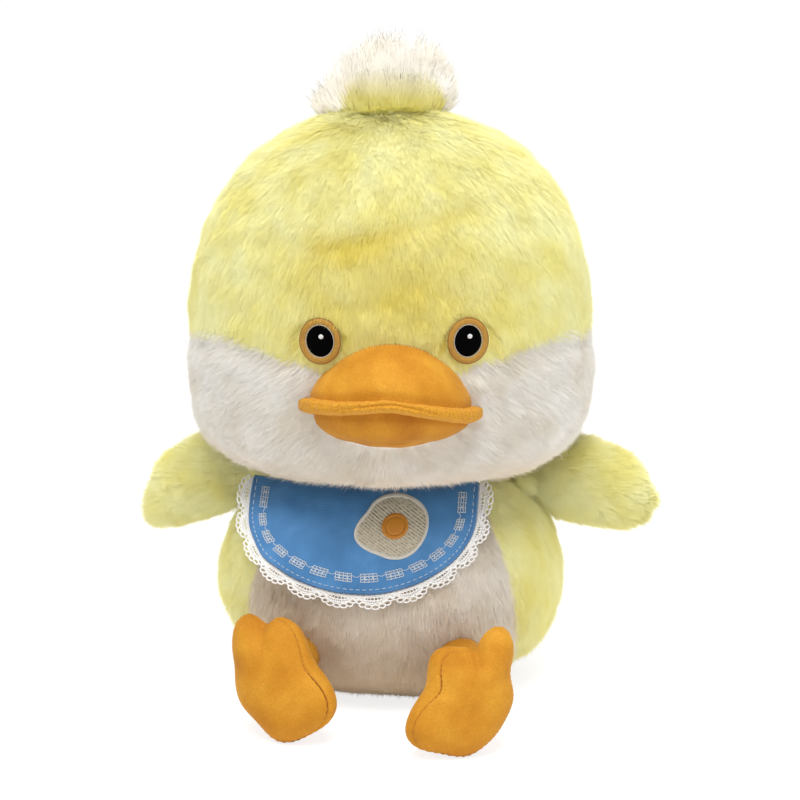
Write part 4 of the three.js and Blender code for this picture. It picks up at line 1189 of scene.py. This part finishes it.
# A round thread along some points; its radius may change along it. A ring joins its two ends.
def threadAlong(bm, path, radius, sides=6, ring=False):
    path = np.asarray(path, dtype=float)
    count = len(path)
    ahead = np.roll(path, -1, axis=0) - np.roll(path, 1, axis=0) if ring else np.gradient(path, axis=0)
    ahead = unit(ahead)
    side = unit(np.cross(ahead, (0.0, -1.0, 0.15)))
    up = np.cross(side, ahead)
    radius = np.broadcast_to(radius, count)
    turns = np.arange(sides) * 2 * math.pi / sides
    rings = []
    for i in range(count):
        circle = path[i] + radius[i] * (np.cos(turns)[:, None] * side[i] + np.sin(turns)[:, None] * up[i])
        rings.append([bm.verts.new(point) for point in circle])
    for first, second in zip(rings, rings[1:] + rings[:1] if ring else rings[1:]):
        for k in range(sides):
            after = (k + 1) % sides
            bm.faces.new((first[k], second[k], second[after], first[after]))
    if not ring:
        bm.faces.new(rings[0])
        bm.faces.new(rings[-1][::-1])


def threadsDone(bm):
    bmesh.ops.recalc_face_normals(bm, faces=bm.faces)
    return bm


# What is inside: loose fibre and the cotton of the pellet bag
def insideMaterial(name, dark, light):
    return grainMaterial(name, dark, light, (1.8, 6, 0.7), 1.5, 1.0, 0.1)


fibreFill = insideMaterial("loose white polyester fibre", "#d8d8d6", "#f4f4f2")
bagCotton = insideMaterial("plain cotton of the pellet bag", "#cfcabb", "#dedacd")


# Legs and feet

seamThread = threadMaterial("brown orange sewing thread", "#9a5814", "#b8701e")

foot = dict(
    radius=19, halfThickness=11.5, lean=15, turn=17, sink=0.5, seamDepthMm=1.7, seamWidthMm=0.6, puckers=58,
    puckerMm=0.25, valleyMm=2.2, skinMm=3.2, groundMm=0.15, fibreGroundMm=1.2, threadRadius=0.26,
    seamStitches=130,
)
# A leg's tube begins behind the hip and ends a little before the foot's middle.
leg = dict(radius=12, taperMm=1.2, behindMm=11, shortMm=2)
# Each foot's lobes and its notch: how far out they reach, the way they point (0 outwards, 90 up), their
# width.
footSides = [
    dict(word="left", side=-1, spread=43, reach=92, seamShift=0.48, notch=(5, 74, 9),
         lobes=[(12.5, 52, 26), (8, 95, 32), (12.5, 198, 30), (9, 248, 30)]),
    dict(word="right", side=1, spread=45, reach=102, seamShift=0.7, notch=(5, 81, 8),
         lobes=[(14.5, 60, 22), (6, 124, 28), (14, 209, 26), (8, 256, 30)]),
]


def lobeAt(angle, length, middle, spread):
    away = np.angle(np.exp(1j * (angle - math.radians(middle))))
    return length * np.exp(-(away / math.radians(spread)) ** 2)


def footEdge(each, angle):
    lobes = sum(lobeAt(angle, *lobe) for lobe in each["lobes"])
    return foot["radius"] + lobes - lobeAt(angle, *each["notch"])


# How far towards the sole the seam lies, as a tilt: most on the inner side, where a strip of upper shows.
def seamTiltAt(each, angle):
    return each["seamShift"] * (lobeAt(angle, 1, 160, 58) + 0.25 * lobeAt(angle, 1, 77, 30))


# A puffed foot, its sole towards +Z and its toes towards +Y, as one skin with a sewn groove.
def footSkin(each, shrink=0):
    side = each["side"]
    bm, up, turn = roundBall(168, 72)
    outward = turn if side > 0 else np.pi - turn
    tilt = np.arcsin(up)
    swell = np.maximum(0, np.cos(tilt)) ** 0.75
    reach = (footEdge(each, outward) - shrink) * swell
    rise = (foot["halfThickness"] - shrink) * np.sin(tilt)
    seamTilt = seamTiltAt(each, outward)
    away = (tilt - seamTilt) * foot["halfThickness"]
    groove = np.exp(-(away / foot["seamWidthMm"]) ** 2)
    pull = np.exp(-(away / 3.2) ** 2)
    reach = reach - groove * foot["seamDepthMm"]
    reach = reach - pull * foot["puckerMm"] * (1 + np.sin(outward * foot["puckers"]))
    # The stuffing swells each toe, with a soft valley between them.
    middle = each["notch"][1] - 14 * np.clip(1.1 - swell, 0, 1)
    valley = np.exp(-(np.angle(np.exp(1j * (outward - np.radians(middle)))) / math.radians(12)) ** 2)
    valley = valley * np.clip(swell * 1.5 - 0.55, 0, 1) * np.abs(np.sin(tilt)) ** 0.5
    rise = rise - np.sign(rise) * valley * foot["valleyMm"]
    movePoints(bm, np.stack([reach * np.cos(turn), reach * np.sin(turn), rise], axis=1))
    addLumps(bm, 0.8, 15, 12 + side)
    return bm, seamTilt


def placeFoot(each):
    side = each["side"]
    turned = Matrix.Rotation(side * math.radians(foot["turn"]), 4, "Z")
    turned = turned @ Matrix.Rotation(math.pi / 2 - math.radians(foot["lean"]), 4, "X")
    low = min((turned @ v.co).z for v in footSkin(each)[0].verts)
    return Matrix.Translation((side * each["spread"], -each["reach"], -low - foot["sink"])) @ turned


# The seam's dark thread, deep in its groove, with small stitches.
def makeFootSeam(each, turned):
    side = each["side"]
    outward = np.linspace(0, 2 * math.pi, 260, endpoint=False)
    turn = outward if side > 0 else np.pi - outward
    tilt = seamTiltAt(each, outward)
    reach = footEdge(each, outward) * np.cos(tilt) ** 0.75 - foot["seamDepthMm"] * 0.8
    rise = foot["halfThickness"] * np.sin(tilt)
    path = np.stack([reach * np.cos(turn), reach * np.sin(turn), rise], axis=1)
    bm = bmesh.new()
    threadAlong(bm, path, foot["threadRadius"] * (1 + 0.25 * np.sin(outward * foot["seamStitches"])), 6,
                ring=True)
    movedSkin(threadsDone(bm), turned)
    makePiece("foot_" + each["word"] + "_seam", bm, bodyPlace, "foot_" + each["word"], seamThread)


# Keeps a form above the table.
def keepAbove(bm, lowest):
    points = pointsOf(bm)
    points[:, 2] = np.maximum(points[:, 2], lowest)
    movePoints(bm, points)


# A leg: a round root in the body that runs into a soft tube.
def makeLeg(word, footPlace):
    hip = Vector(hips[word])
    towards = footPlace.translation - hip
    bm, up, around = roundBall(40, 36)
    along = (up + 1) / 2
    radius = (leg["radius"] - leg["taperMm"] * along) * np.maximum(0, 1 - up ** 2) ** 0.25
    height = (towards.length + leg["behindMm"] - leg["shortMm"]) * along - leg["behindMm"]
    movePoints(bm, np.stack([radius * np.cos(around), radius * np.sin(around), height], axis=1))
    movedSkin(bm, Matrix.Translation(hip) @ towards.to_track_quat("Z", "Y").to_matrix().to_4x4())
    makePiece("leg_" + word + "_tube", bm, bodyPlace, "foot_" + word, orangeMinky,
              "leg_" + word)


def makeFeet():
    for each in footSides:
        word = each["word"]
        turned = placeFoot(each)
        makeFootSeam(each, turned)
        for half, sign in (("upper", -1), ("sole", 1)):
            bm, seamTilt = footSkin(each)
            bm.verts.ensure_lookup_table()
            above = pointsOf(bm)[:, 2] > foot["halfThickness"] * np.sin(seamTilt)
            unwanted = [face for face in bm.faces
                        if (sum(above[v.index] for v in face.verts) * 2 > len(face.verts)) != (sign > 0)]
            bmesh.ops.delete(bm, geom=unwanted, context="FACES")
            movedSkin(bm, turned)
            keepAbove(bm, foot["groundMm"])
            makePiece("foot_" + word + "_" + half + "_skin", bm, bodyPlace, "foot_" + word, orangeMinky,
                      "foot_" + word + "_" + half)
        bm = movedSkin(footSkin(each, foot["skinMm"])[0], turned)
        keepAbove(bm, foot["fibreGroundMm"])
        makePiece("foot_" + word + "_fibre", bm, bodyPlace, "foot_" + word, fibreFill,
                  "foot_" + word + "_filling")
        makeLeg(word, turned)


makeFeet()
print("feet sewn")


# Bib

bib = dict(
    side=-8.5, top=102.8, straight=10.8, round=30.5, halfWidth=51.8, curve=135, standOff=2.8, thickMm=0.9,
    columns=96, rows=44, hemInMm=1.9, hemRadiusMm=0.75, stitchMm=1.5, stitchGapMm=0.9, stitchInMm=1.9,
    stitchThreadMm=0.17, foldMm=1.9, foldWidthMm=5.0,
)
bib["middle"] = bib["top"] - bib["straight"]


# The soft folds of the hanging cloth, one of them at its left: how far it stands out at a place, in
# millimetres.
def clothWaves(x, z):
    across = x - bib["side"]
    fold = np.exp(-((across + 40 - (z - 80) * 0.35) / bib["foldWidthMm"]) ** 2) * bib["foldMm"]
    slack = 0.7 * np.sin(across / 9.5 + 0.4) * np.clip((bib["top"] - z) / 30, 0, 1)
    sag = 0.5 * np.sin(z / 7.5 + across / 30)
    return fold + slack + sag * 0.5


def bibDepth(x, z):
    across = x - bib["side"]
    roundness = bib["curve"] - np.sqrt(bib["curve"] ** 2 - across ** 2)
    return -bodyForm["halfDepth"] * swellAt(bodyForm, z) - bib["standOff"] + roundness - clothWaves(x, z)


# A place on the hanging bib, lifted off its surface by some millimetres.
def onBib(x, z, out):
    x, z = np.asarray(x, dtype=float), np.asarray(z, dtype=float)
    step = 0.2
    slopeX = (bibDepth(x + step, z) - bibDepth(x - step, z)) / (2 * step)
    slopeZ = (bibDepth(x, z + step) - bibDepth(x, z - step)) / (2 * step)
    facing = unit(np.stack([slopeX, -np.ones_like(slopeX), slopeZ], axis=-1))
    return np.stack([x, bibDepth(x, z), z], axis=-1) + facing * np.asarray(out, dtype=float)[..., None]


# How long the bib's round foot and its whole edge are.
bibBowMm = math.pi * (bib["halfWidth"] + bib["round"]) / 2
bibEdgeMm = bibBowMm + 2 * bib["straight"]


# A place on the bib's edge, moved out by some millimetres: along runs 0 to 1 round its U.
def bibEdge(along, out):
    along, out = np.broadcast_arrays(np.asarray(along, dtype=float), out)
    distance = along * bibEdgeMm
    turn = np.clip((distance - bib["straight"]) / bibBowMm, 0, 1) * math.pi
    x = bib["side"] - (bib["halfWidth"] + out) * np.cos(turn)
    z = bib["middle"] - (bib["round"] + out) * np.sin(turn)
    beyond = bib["straight"] + bibBowMm
    z = z + np.clip(bib["straight"] - distance, 0, None) + np.clip(distance - beyond, 0, None)
    return x, z


# A wave texture's scale, in metres, for bands of one millimetre.
bandScale = 314
# The real threads lie about 0.3 mm apart, too fine to show, so they are drawn coarser.
threadPitchMm = 0.9


# Blue cotton with a fine plain weave and a soft sheen; the weave runs along and across the bib.
def cottonMaterial(name, deep, middle, pale):
    material, tree = newMaterial(name)
    coordinates = addNode(tree, "ShaderNodeTexCoord").outputs["Object"]
    weaves = []
    for axis in ("X", "Z"):
        weave = {"Vector": coordinates, "Scale": bandScale / threadPitchMm, "Distortion": 1.2, "Detail": 1.0,
                 "Detail Scale": 1.5}
        weaves.append(addNode(tree, "ShaderNodeTexWave", weave, bands_direction=axis).outputs["Fac"])
    woven = addNode(tree, "ShaderNodeMath", {0: weaves[0], 1: weaves[1]}, operation="MULTIPLY").outputs[0]
    cloudy = addNoise(tree, 14, 3, 0.5)
    colour = addRamp(tree, cloudy, [(0.3, deep), (0.52, middle), (0.75, pale)])
    threads = addRamp(tree, woven, [(0, "#efefef"), (0.6, "#ffffff")])
    finishMaterial(tree, {
        "Base Color": addMix(tree, 1.0, colour, threads, "MULTIPLY"), "Roughness": 0.6,
        "Specular IOR Level": 0.35, "Sheen Weight": 0.2, "Sheen Tint": linear("#cfe2ff"),
        "Normal": addBump(tree, woven, 0.05),
    })
    return material


blueCotton = cottonMaterial("blue plain weave cotton", "#3e76aa", "#4681b7", "#5490c8")
blueHem = cottonMaterial("blue cotton, folded at the hem", "#41719f", "#4a7cb0", "#5388bc")
laceThread = threadMaterial("white cotton lace thread", "#f0eeea", "#fbfaf8", 1.2, 0.8, 0.2)
silverThread = threadMaterial("silver white embroidery thread", "#a9b6c2", "#dfe5ea", 0.8, 0.45)


def makeCloth():
    bm = bmesh.new()
    bmesh.ops.create_grid(bm, x_segments=bib["columns"], y_segments=bib["rows"], size=1)
    flat = pointsOf(bm)
    across = np.sin(flat[:, 0] * math.pi / 2)
    inner = bib["hemInMm"] * 0.2
    low = bib["middle"] - (bib["round"] - inner) * np.sqrt(np.maximum(0, 1 - across ** 2))
    z = low + (bib["top"] - low) * (flat[:, 1] + 1) / 2
    x = bib["side"] + (bib["halfWidth"] - inner) * across
    movePoints(bm, onBib(x, z, 0.15))
    for face in bm.faces:
        if face.normal.y > 0:
            face.normal_flip()
    bmesh.ops.solidify(bm, geom=bm.faces[:], thickness=-bib["thickMm"])
    bmesh.ops.recalc_face_normals(bm, faces=bm.faces)
    cloth = makePiece("bib_sheet", bm, bodyPlace, "bib", blueCotton, "bib_cloth")
    # The hem is folded to the back and rolls a little.
    bm = bmesh.new()
    x, z = bibEdge(np.linspace(0.004, 0.996, 220), -bib["hemRadiusMm"] * 0.7)
    uneven = 1 + 0.12 * np.sin(np.linspace(0, 60, 220))
    threadAlong(bm, onBib(x, z, bib["thickMm"] * 0.6), bib["hemRadiusMm"] * uneven, 10)
    hem = makePiece("bib_hem", threadsDone(bm), bodyPlace, "bib", blueHem)
    return cloth, hem


# White running stitches along the hem, each a short thread that dips in the cloth at both ends.
def makeTopstitch():
    bm = bmesh.new()
    pitch = bib["stitchMm"] + bib["stitchGapMm"]
    count = int((bibEdgeMm - 2) / pitch)
    for i in range(count):
        start = (1 + i * pitch) / bibEdgeMm
        along = np.linspace(start, start + bib["stitchMm"] / bibEdgeMm, 5)
        x, z = bibEdge(along, -bib["stitchInMm"])
        rise = np.array([-0.15, 0.12, 0.2, 0.12, -0.15])
        threadAlong(bm, onBib(x, z, bib["thickMm"] + 0.15 + rise), bib["stitchThreadMm"], 5)
    return makePiece("bib_topstitch", threadsDone(bm), bodyPlace, "bib", silverThread)


# Small embroidered windows of crossing silver threads, joined by one thread.
windows = dict(count=14, inMm=6.8, width=6.8, height=3.3, threadMm=0.21)


def makeWindows():
    bm = bmesh.new()
    centres = np.linspace(0.045, 0.955, windows["count"])
    lift = bib["thickMm"] + 0.25
    for number, centre in enumerate(centres):
        tilt = 0.10 * math.sin(number * 2.3)

        def place(u, v):
            along = centre + (u + tilt * v) / bibEdgeMm
            return bibEdge(along, -windows["inMm"] + v)

        for v in np.linspace(-windows["height"] / 2, windows["height"] / 2, 4):
            u = np.linspace(-windows["width"] / 2, windows["width"] / 2, 13)
            wobble = 0.12 * np.sin(u * 4 + v + number)
            x, z = place(u, v + wobble)
            threadAlong(bm, onBib(x, z, lift + 0.14 * np.cos(u * 5.2 + v * 2)), windows["threadMm"], 5)
        for u in np.linspace(-windows["width"] / 2, windows["width"] / 2, 5):
            v = np.linspace(-windows["height"] / 2, windows["height"] / 2, 9)
            wobble = 0.14 * np.sin(v * 4 + u + number)
            x, z = place(u + wobble, v)
            threadAlong(bm, onBib(x, z, lift - 0.14 * np.cos(v * 5.2 + u * 2)), windows["threadMm"], 5)
        for u in (-0.25, 0.25):
            for flip in (-1, 1):
                v = np.linspace(-1.0, 1.0, 5)
                x, z = place(u * windows["width"] + v * 0.9 * flip, v)
                threadAlong(bm, onBib(x, z, lift + 0.15), windows["threadMm"] * 0.85, 5)
    for first, second in zip(centres, centres[1:]):
        start = first + windows["width"] / 2 / bibEdgeMm
        end = second - windows["width"] / 2 / bibEdgeMm
        along = np.linspace(start, end, 9)
        sway = np.sin(np.linspace(0, math.pi, 9)) * 0.9 - 1.2
        x, z = bibEdge(along, -windows["inMm"] + sway)
        threadAlong(bm, onBib(x, z, lift - 0.12), 0.16, 5)
    return makePiece("bib_windows", threadsDone(bm), bodyPlace, "bib", silverThread)


# Lace: a heading along the cloth, and scallops with a fan of arcs, spokes and small rings.
lace = dict(
    scallops=12, width=6.9, threadMm=0.3, ringRadius=1.0, ringThreadMm=0.36, rings=7, arcs=(0.34, 0.56),
    sag=0.6, backMm=-0.1,
)


def makeLace():
    bm = bmesh.new()
    step = 1 / lace["scallops"]

    def onLace(along, out, lift=0):
        x, z = bibEdge(along, out)
        flare = 0.5 * np.sin(np.asarray(along) * lace["scallops"] * 4 * math.pi)
        hang = flare * np.clip(out, 0, None) / lace["width"] * lace["sag"]
        return onBib(x, z, lace["backMm"] + lift + hang)

    for out, thick in ((-0.3, 0.45), (0.9, 0.36), (1.6, 0.3)):
        along = np.linspace(0.002, 0.998, 300)
        wobble = 0.12 * np.sin(along * 500)
        threadAlong(bm, onLace(along, out + wobble), thick, 6)
    # A zigzag ties the heading's threads together.
    count = 150
    along = np.linspace(0.004, 0.996, count)
    threadAlong(bm, onLace(along, np.where(np.arange(count) % 2, 1.6, 0.3), 0.1), 0.2, 5)
    for number in range(lace["scallops"]):
        centre = (number + 0.5) * step
        halfPitch = bibEdgeMm * step / 2

        # A place in the scallop's fan: turn 0 to 1 across it, share 0 to 1 from its foot to its rim.
        def fan(turn, share):
            angle = math.pi * (0.04 + 0.92 * np.asarray(turn))
            out = 1.2 + (lace["width"] - 1.2) * share * np.sin(angle) ** 0.8
            across = -np.cos(angle) * halfPitch * (0.55 + 0.40 * share)
            return centre + across / bibEdgeMm, out

        for share in lace["arcs"]:
            along, out = fan(np.linspace(0, 1, 27), share)
            threadAlong(bm, onLace(along, out), lace["threadMm"], 6)
        for turn in np.linspace(0.08, 0.92, 9):
            shares = np.linspace(0.02, 0.72, 6)
            along, out = fan(np.full(6, turn), shares)
            threadAlong(bm, onLace(along, out, 0.08), lace["threadMm"] * 0.85, 5)
        # A wavy arc between the two plain ones fills the fan.
        turns = np.linspace(0.04, 0.96, 41)
        along, out = fan(turns, 0.45 + 0.1 * np.cos(turns * 60))
        threadAlong(bm, onLace(along, out, -0.05), lace["threadMm"] * 0.8, 5)
        for turn in (np.arange(lace["rings"]) + 0.5) / lace["rings"]:
            along, out = fan(turn, 0.84)
            angles = np.arange(14) * 2 * math.pi / 14
            radius = lace["ringRadius"] * (1 + 0.06 * math.sin(number * 5 + turn * 20))
            path = onLace(along + np.cos(angles) * radius * 1.1 / bibEdgeMm, out + np.sin(angles) * radius)
            threadAlong(bm, path, lace["ringThreadMm"], 6, ring=True)
        # A ring hangs in each valley between two scallops.
        if number:
            angles = np.arange(14) * 2 * math.pi / 14
            path = onLace(number * step + np.cos(angles) * 0.9 / bibEdgeMm, 2.3 + np.sin(angles) * 0.8)
            threadAlong(bm, path, lace["ringThreadMm"], 6, ring=True)
    return makePiece("bib_lace_threads", threadsDone(bm), bodyPlace, "bib", laceThread,
                     "bib_lace")


# The sewn patch: a soft uneven egg white of slanting stitches, with a satin border and a yolk
patch = dict(
    halfWidth=14.6, halfHeight=11.4, side=15.2, drop=14.8, yolk=6, yolkHigh=0.8, yolkSide=0.8, yolkRise=0.4,
    liftMm=1.3, borderMm=1.5, borderRise=0.75, borderThreads=230, fillPitchMm=1.15, fillRise=0.5, slant=1.0,
)


# The patch's own outline as a share of its half width and height.
def patchEdge(turn):
    lobes = 0.17 * lobeAt(turn, 1, 196, 24) + 0.07 * lobeAt(turn, 1, 28, 30) + 0.05 * lobeAt(turn, 1, 296, 24)
    return 1 + lobes - 0.07 * lobeAt(turn, 1, 150, 16) - 0.05 * lobeAt(turn, 1, 246, 16)


def onPatch(x, z, out):
    return onBib(bib["side"] + patch["side"] + x, bib["top"] - patch["drop"] + z, patch["liftMm"] + out)


def satinRing(around, across, inside, width, rise, threads, roundThread):
    out = inside + width * (0.5 - 0.5 * np.cos(across * math.pi))
    arch = np.sin(across * math.pi) ** 0.6
    ridge = np.abs(np.cos(around * threads / 2)) * roundThread
    return out, arch * (rise + ridge) - (1 - arch) * 0.3


def makePatch():
    wide, high = patch["halfWidth"], patch["halfHeight"]
    bm, around, across = woundGrid(300, 46)
    edge = patchEdge(around)
    x = (wide - 0.7) * edge * across * np.cos(around)
    z = (high - 0.7) * edge * across * np.sin(around)
    slanted = x * math.cos(patch["slant"]) + z * math.sin(patch["slant"])
    along = -x * math.sin(patch["slant"]) + z * math.cos(patch["slant"])
    row = np.floor(slanted / patch["fillPitchMm"])
    ridge = np.abs(np.cos(math.pi * slanted / patch["fillPitchMm"])) ** 0.8
    dash = 0.75 + 0.25 * np.sin(2 * math.pi * (along / 2.6 + row * 0.37))
    bm = closeGrid(bm, onPatch(x, z, patch["fillRise"] * ridge * dash))
    fill = makePiece("patch_stitched_fill", bm, bodyPlace, "bib", creamThread,
                     "patch_white")
    bm, around, across = woundGrid(patch["borderThreads"] * 4, 8)
    out, rise = satinRing(around, across, -patch["borderMm"] / 2 - 0.2, patch["borderMm"],
                          patch["borderRise"], patch["borderThreads"] * 2, 0.06)
    edge = patchEdge(around)
    x, z = (wide * edge + out) * np.cos(around), (high * edge + out) * np.sin(around)
    border = makePiece("patch_satin_border", closeGrid(bm, onPatch(x, z, rise)), bodyPlace, "bib",
                       paleCreamThread)
    bm, around, across = woundGrid(220, 40)
    radius = patch["yolk"] * across
    x = radius * np.cos(around) + patch["yolkSide"]
    z = radius * np.sin(around) * patch["yolkHigh"] + patch["yolkRise"]
    ringed = np.exp(-((radius - 4.2) / 0.3) ** 2) * 0.5
    ridge = 0.12 * np.abs(np.cos(math.pi * (x + 0.4 * z) / 0.42)) * (across < 0.72)
    rim = 0.09 * np.abs(np.cos(around * 55)) * (across >= 0.72)
    dome = 0.75 * np.sqrt(np.maximum(0, 1 - across ** 6)) + 0.2
    surface = onPatch(x, z, dome + ridge + rim - ringed)
    yolk = makePiece("patch_yolk_satin", closeGrid(bm, surface), bodyPlace, "bib", yolkThread,
                     "patch_yolk")
    return [fill, border, yolk]


# Fill stitching: painted shade, dark between its slanting rows of thread, which a wave across the patch
# draws.
def fillMaterial(name, dark, light, pitchMm, slant):
    material, tree = newMaterial(name)
    coordinates = addNode(tree, "ShaderNodeTexCoord").outputs["Object"]
    turned = addNode(tree, "ShaderNodeMapping", {"Vector": coordinates, "Rotation": (0, slant, 0)})
    rows = addNode(tree, "ShaderNodeTexWave", {"Vector": turned.outputs[0], "Scale": bandScale / pitchMm,
                                               "Distortion": 0.6, "Detail": 1.0}, bands_direction="X")
    dashes = addNoise(tree, 1.3, 2, 0.6)
    thread = addRamp(tree, rows.outputs["Fac"], [(0.1, dark), (0.45, light)])
    finishMaterial(tree, {
        "Base Color": addMix(tree, addRamp(tree, dashes, [(0.35, "#ffffff"), (0.6, "#404040")]),
                             thread, linear(light)),
        "Roughness": 0.5, "Specular IOR Level": 0.35, "Normal": addBump(tree, rows.outputs["Fac"], 0.12),
    })
    return material


creamThread = fillMaterial("cream rayon fill stitching", "#6f6857", "#c6bda8", patch["fillPitchMm"],
                           patch["slant"])
paleCreamThread = threadMaterial("pale cream satin border", "#bdb8ab", "#dedad0", 0.9, 0.5)
yolkThread = threadMaterial("golden rayon satin stitch", "#b07020", "#cc8a2c", 0.7)


def makeBib():
    cloth, hem = makeCloth()
    trims = [hem, makeTopstitch(), makeWindows(), makeLace()] + makePatch()


makeBib()
print("bib sewn")


# What is inside and never seen keeps its solids, in their own materials.
for node in list(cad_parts):
    if node.endswith("_filling") or node == "pellet_bag":
        solid = bpy.data.objects[node]
        solid.data.materials.clear()
        solid.data.materials.append(bagCotton if node == "pellet_bag" else fibreFill)
print("inside pieces given their materials")


# Studio: a white floor, soft lamps above, and the camera

studio = dict(keyWatts=15.8, fillWatts=1.5, rimWatts=3.2, skyStrength=0.55, floorGlow=0.8)


# The rays that see the floor and sky as plain white: from the camera, in gloss and through glass.
def seenRays(tree):
    path = addNode(tree, "ShaderNodeLightPath").outputs
    seen = path["Is Camera Ray"]
    for ray in ("Is Glossy Ray", "Is Transmission Ray"):
        seen = addNode(tree, "ShaderNodeMath", {0: seen, 1: path[ray]}, operation="MAXIMUM").outputs[0]
    return seen


# The floor shows as plain white to the camera, with the toy's soft shadow, and lights the toy from below.
def whiteFloor():
    material, tree = newMaterial("plain white studio floor")
    seen = seenRays(tree)
    paper = addNode(tree, "ShaderNodeBsdfDiffuse", {"Color": linear("#ffffff")}).outputs[0]
    glow = addNode(tree, "ShaderNodeEmission",
                   {"Color": linear("#ffffff"), "Strength": studio["floorGlow"]}).outputs[0]
    dimPaper = addNode(tree, "ShaderNodeBsdfDiffuse", {"Color": linear("#a8a8a8")}).outputs[0]
    shown = addNode(tree, "ShaderNodeAddShader", {0: glow, 1: dimPaper}).outputs[0]
    mixed = addNode(tree, "ShaderNodeMixShader", {0: seen, 1: paper, 2: shown}).outputs[0]
    addNode(tree, "ShaderNodeOutputMaterial", {"Surface": mixed})
    return material


# The sky is plain white to the camera, and lights the toy more softly.
def whiteSky():
    world = bpy.data.worlds.new("white studio")
    world.use_nodes = True
    tree = world.node_tree
    tree.nodes.clear()
    seen = seenRays(tree)
    soft = addNode(tree, "ShaderNodeBackground",
                   {"Color": linear("#ffffff"), "Strength": studio["skyStrength"]})
    plain = addNode(tree, "ShaderNodeBackground", {"Color": linear("#ffffff"), "Strength": 1.0})
    mixed = addNode(tree, "ShaderNodeMixShader", {0: seen, 1: soft.outputs[0], 2: plain.outputs[0]})
    addNode(tree, "ShaderNodeOutputWorld", {"Surface": mixed.outputs[0]})
    scene.world = world


def addLamp(name, place, target, size, watts):
    light = bpy.data.lights.new(name, "AREA")
    light.shape = "DISK"
    light.size = size
    light.energy = watts
    lamp = addObject(name, light)
    lamp.location = place
    lamp.rotation_euler = (Vector(target) - Vector(place)).to_track_quat("-Z", "Y").to_euler()


def setStudio():
    bm = bmesh.new()
    bmesh.ops.create_grid(bm, x_segments=1, y_segments=1, size=6)
    mesh = bpy.data.meshes.new("floor")
    bm.to_mesh(mesh)
    bm.free()
    mesh.materials.append(whiteFloor())
    floor = addObject("floor", mesh)
    whiteSky()
    addLamp("key", (-0.06, -0.45, 1.3), (0, 0, 0.14), 0.9, studio["keyWatts"])
    addLamp("fill", (0.95, -0.9, 0.45), (0, 0, 0.12), 0.8, studio["fillWatts"])
    addLamp("back", (0.2, 0.9, 0.9), (0, 0, 0.16), 0.7, studio["rimWatts"])
    scene.view_settings.view_transform = "Standard"


view = dict(pitch=14, distance=1.147, lens=110, aim=(0.004, 0, 0.1325))


def setCamera():
    data = bpy.data.cameras.new("camera")
    data.lens = view["lens"]
    data.sensor_width = 36
    data.sensor_fit = "HORIZONTAL"
    data.clip_start = 0.05
    camera = addObject("camera", data)
    pitch = math.radians(view["pitch"])
    back = Vector((0, -math.cos(pitch), math.sin(pitch))) * view["distance"]
    camera.location = Vector(view["aim"]) + back
    camera.rotation_euler = (math.pi / 2 - pitch, 0, 0)
    scene.camera = camera


setStudio()
setCamera()
print("studio set")
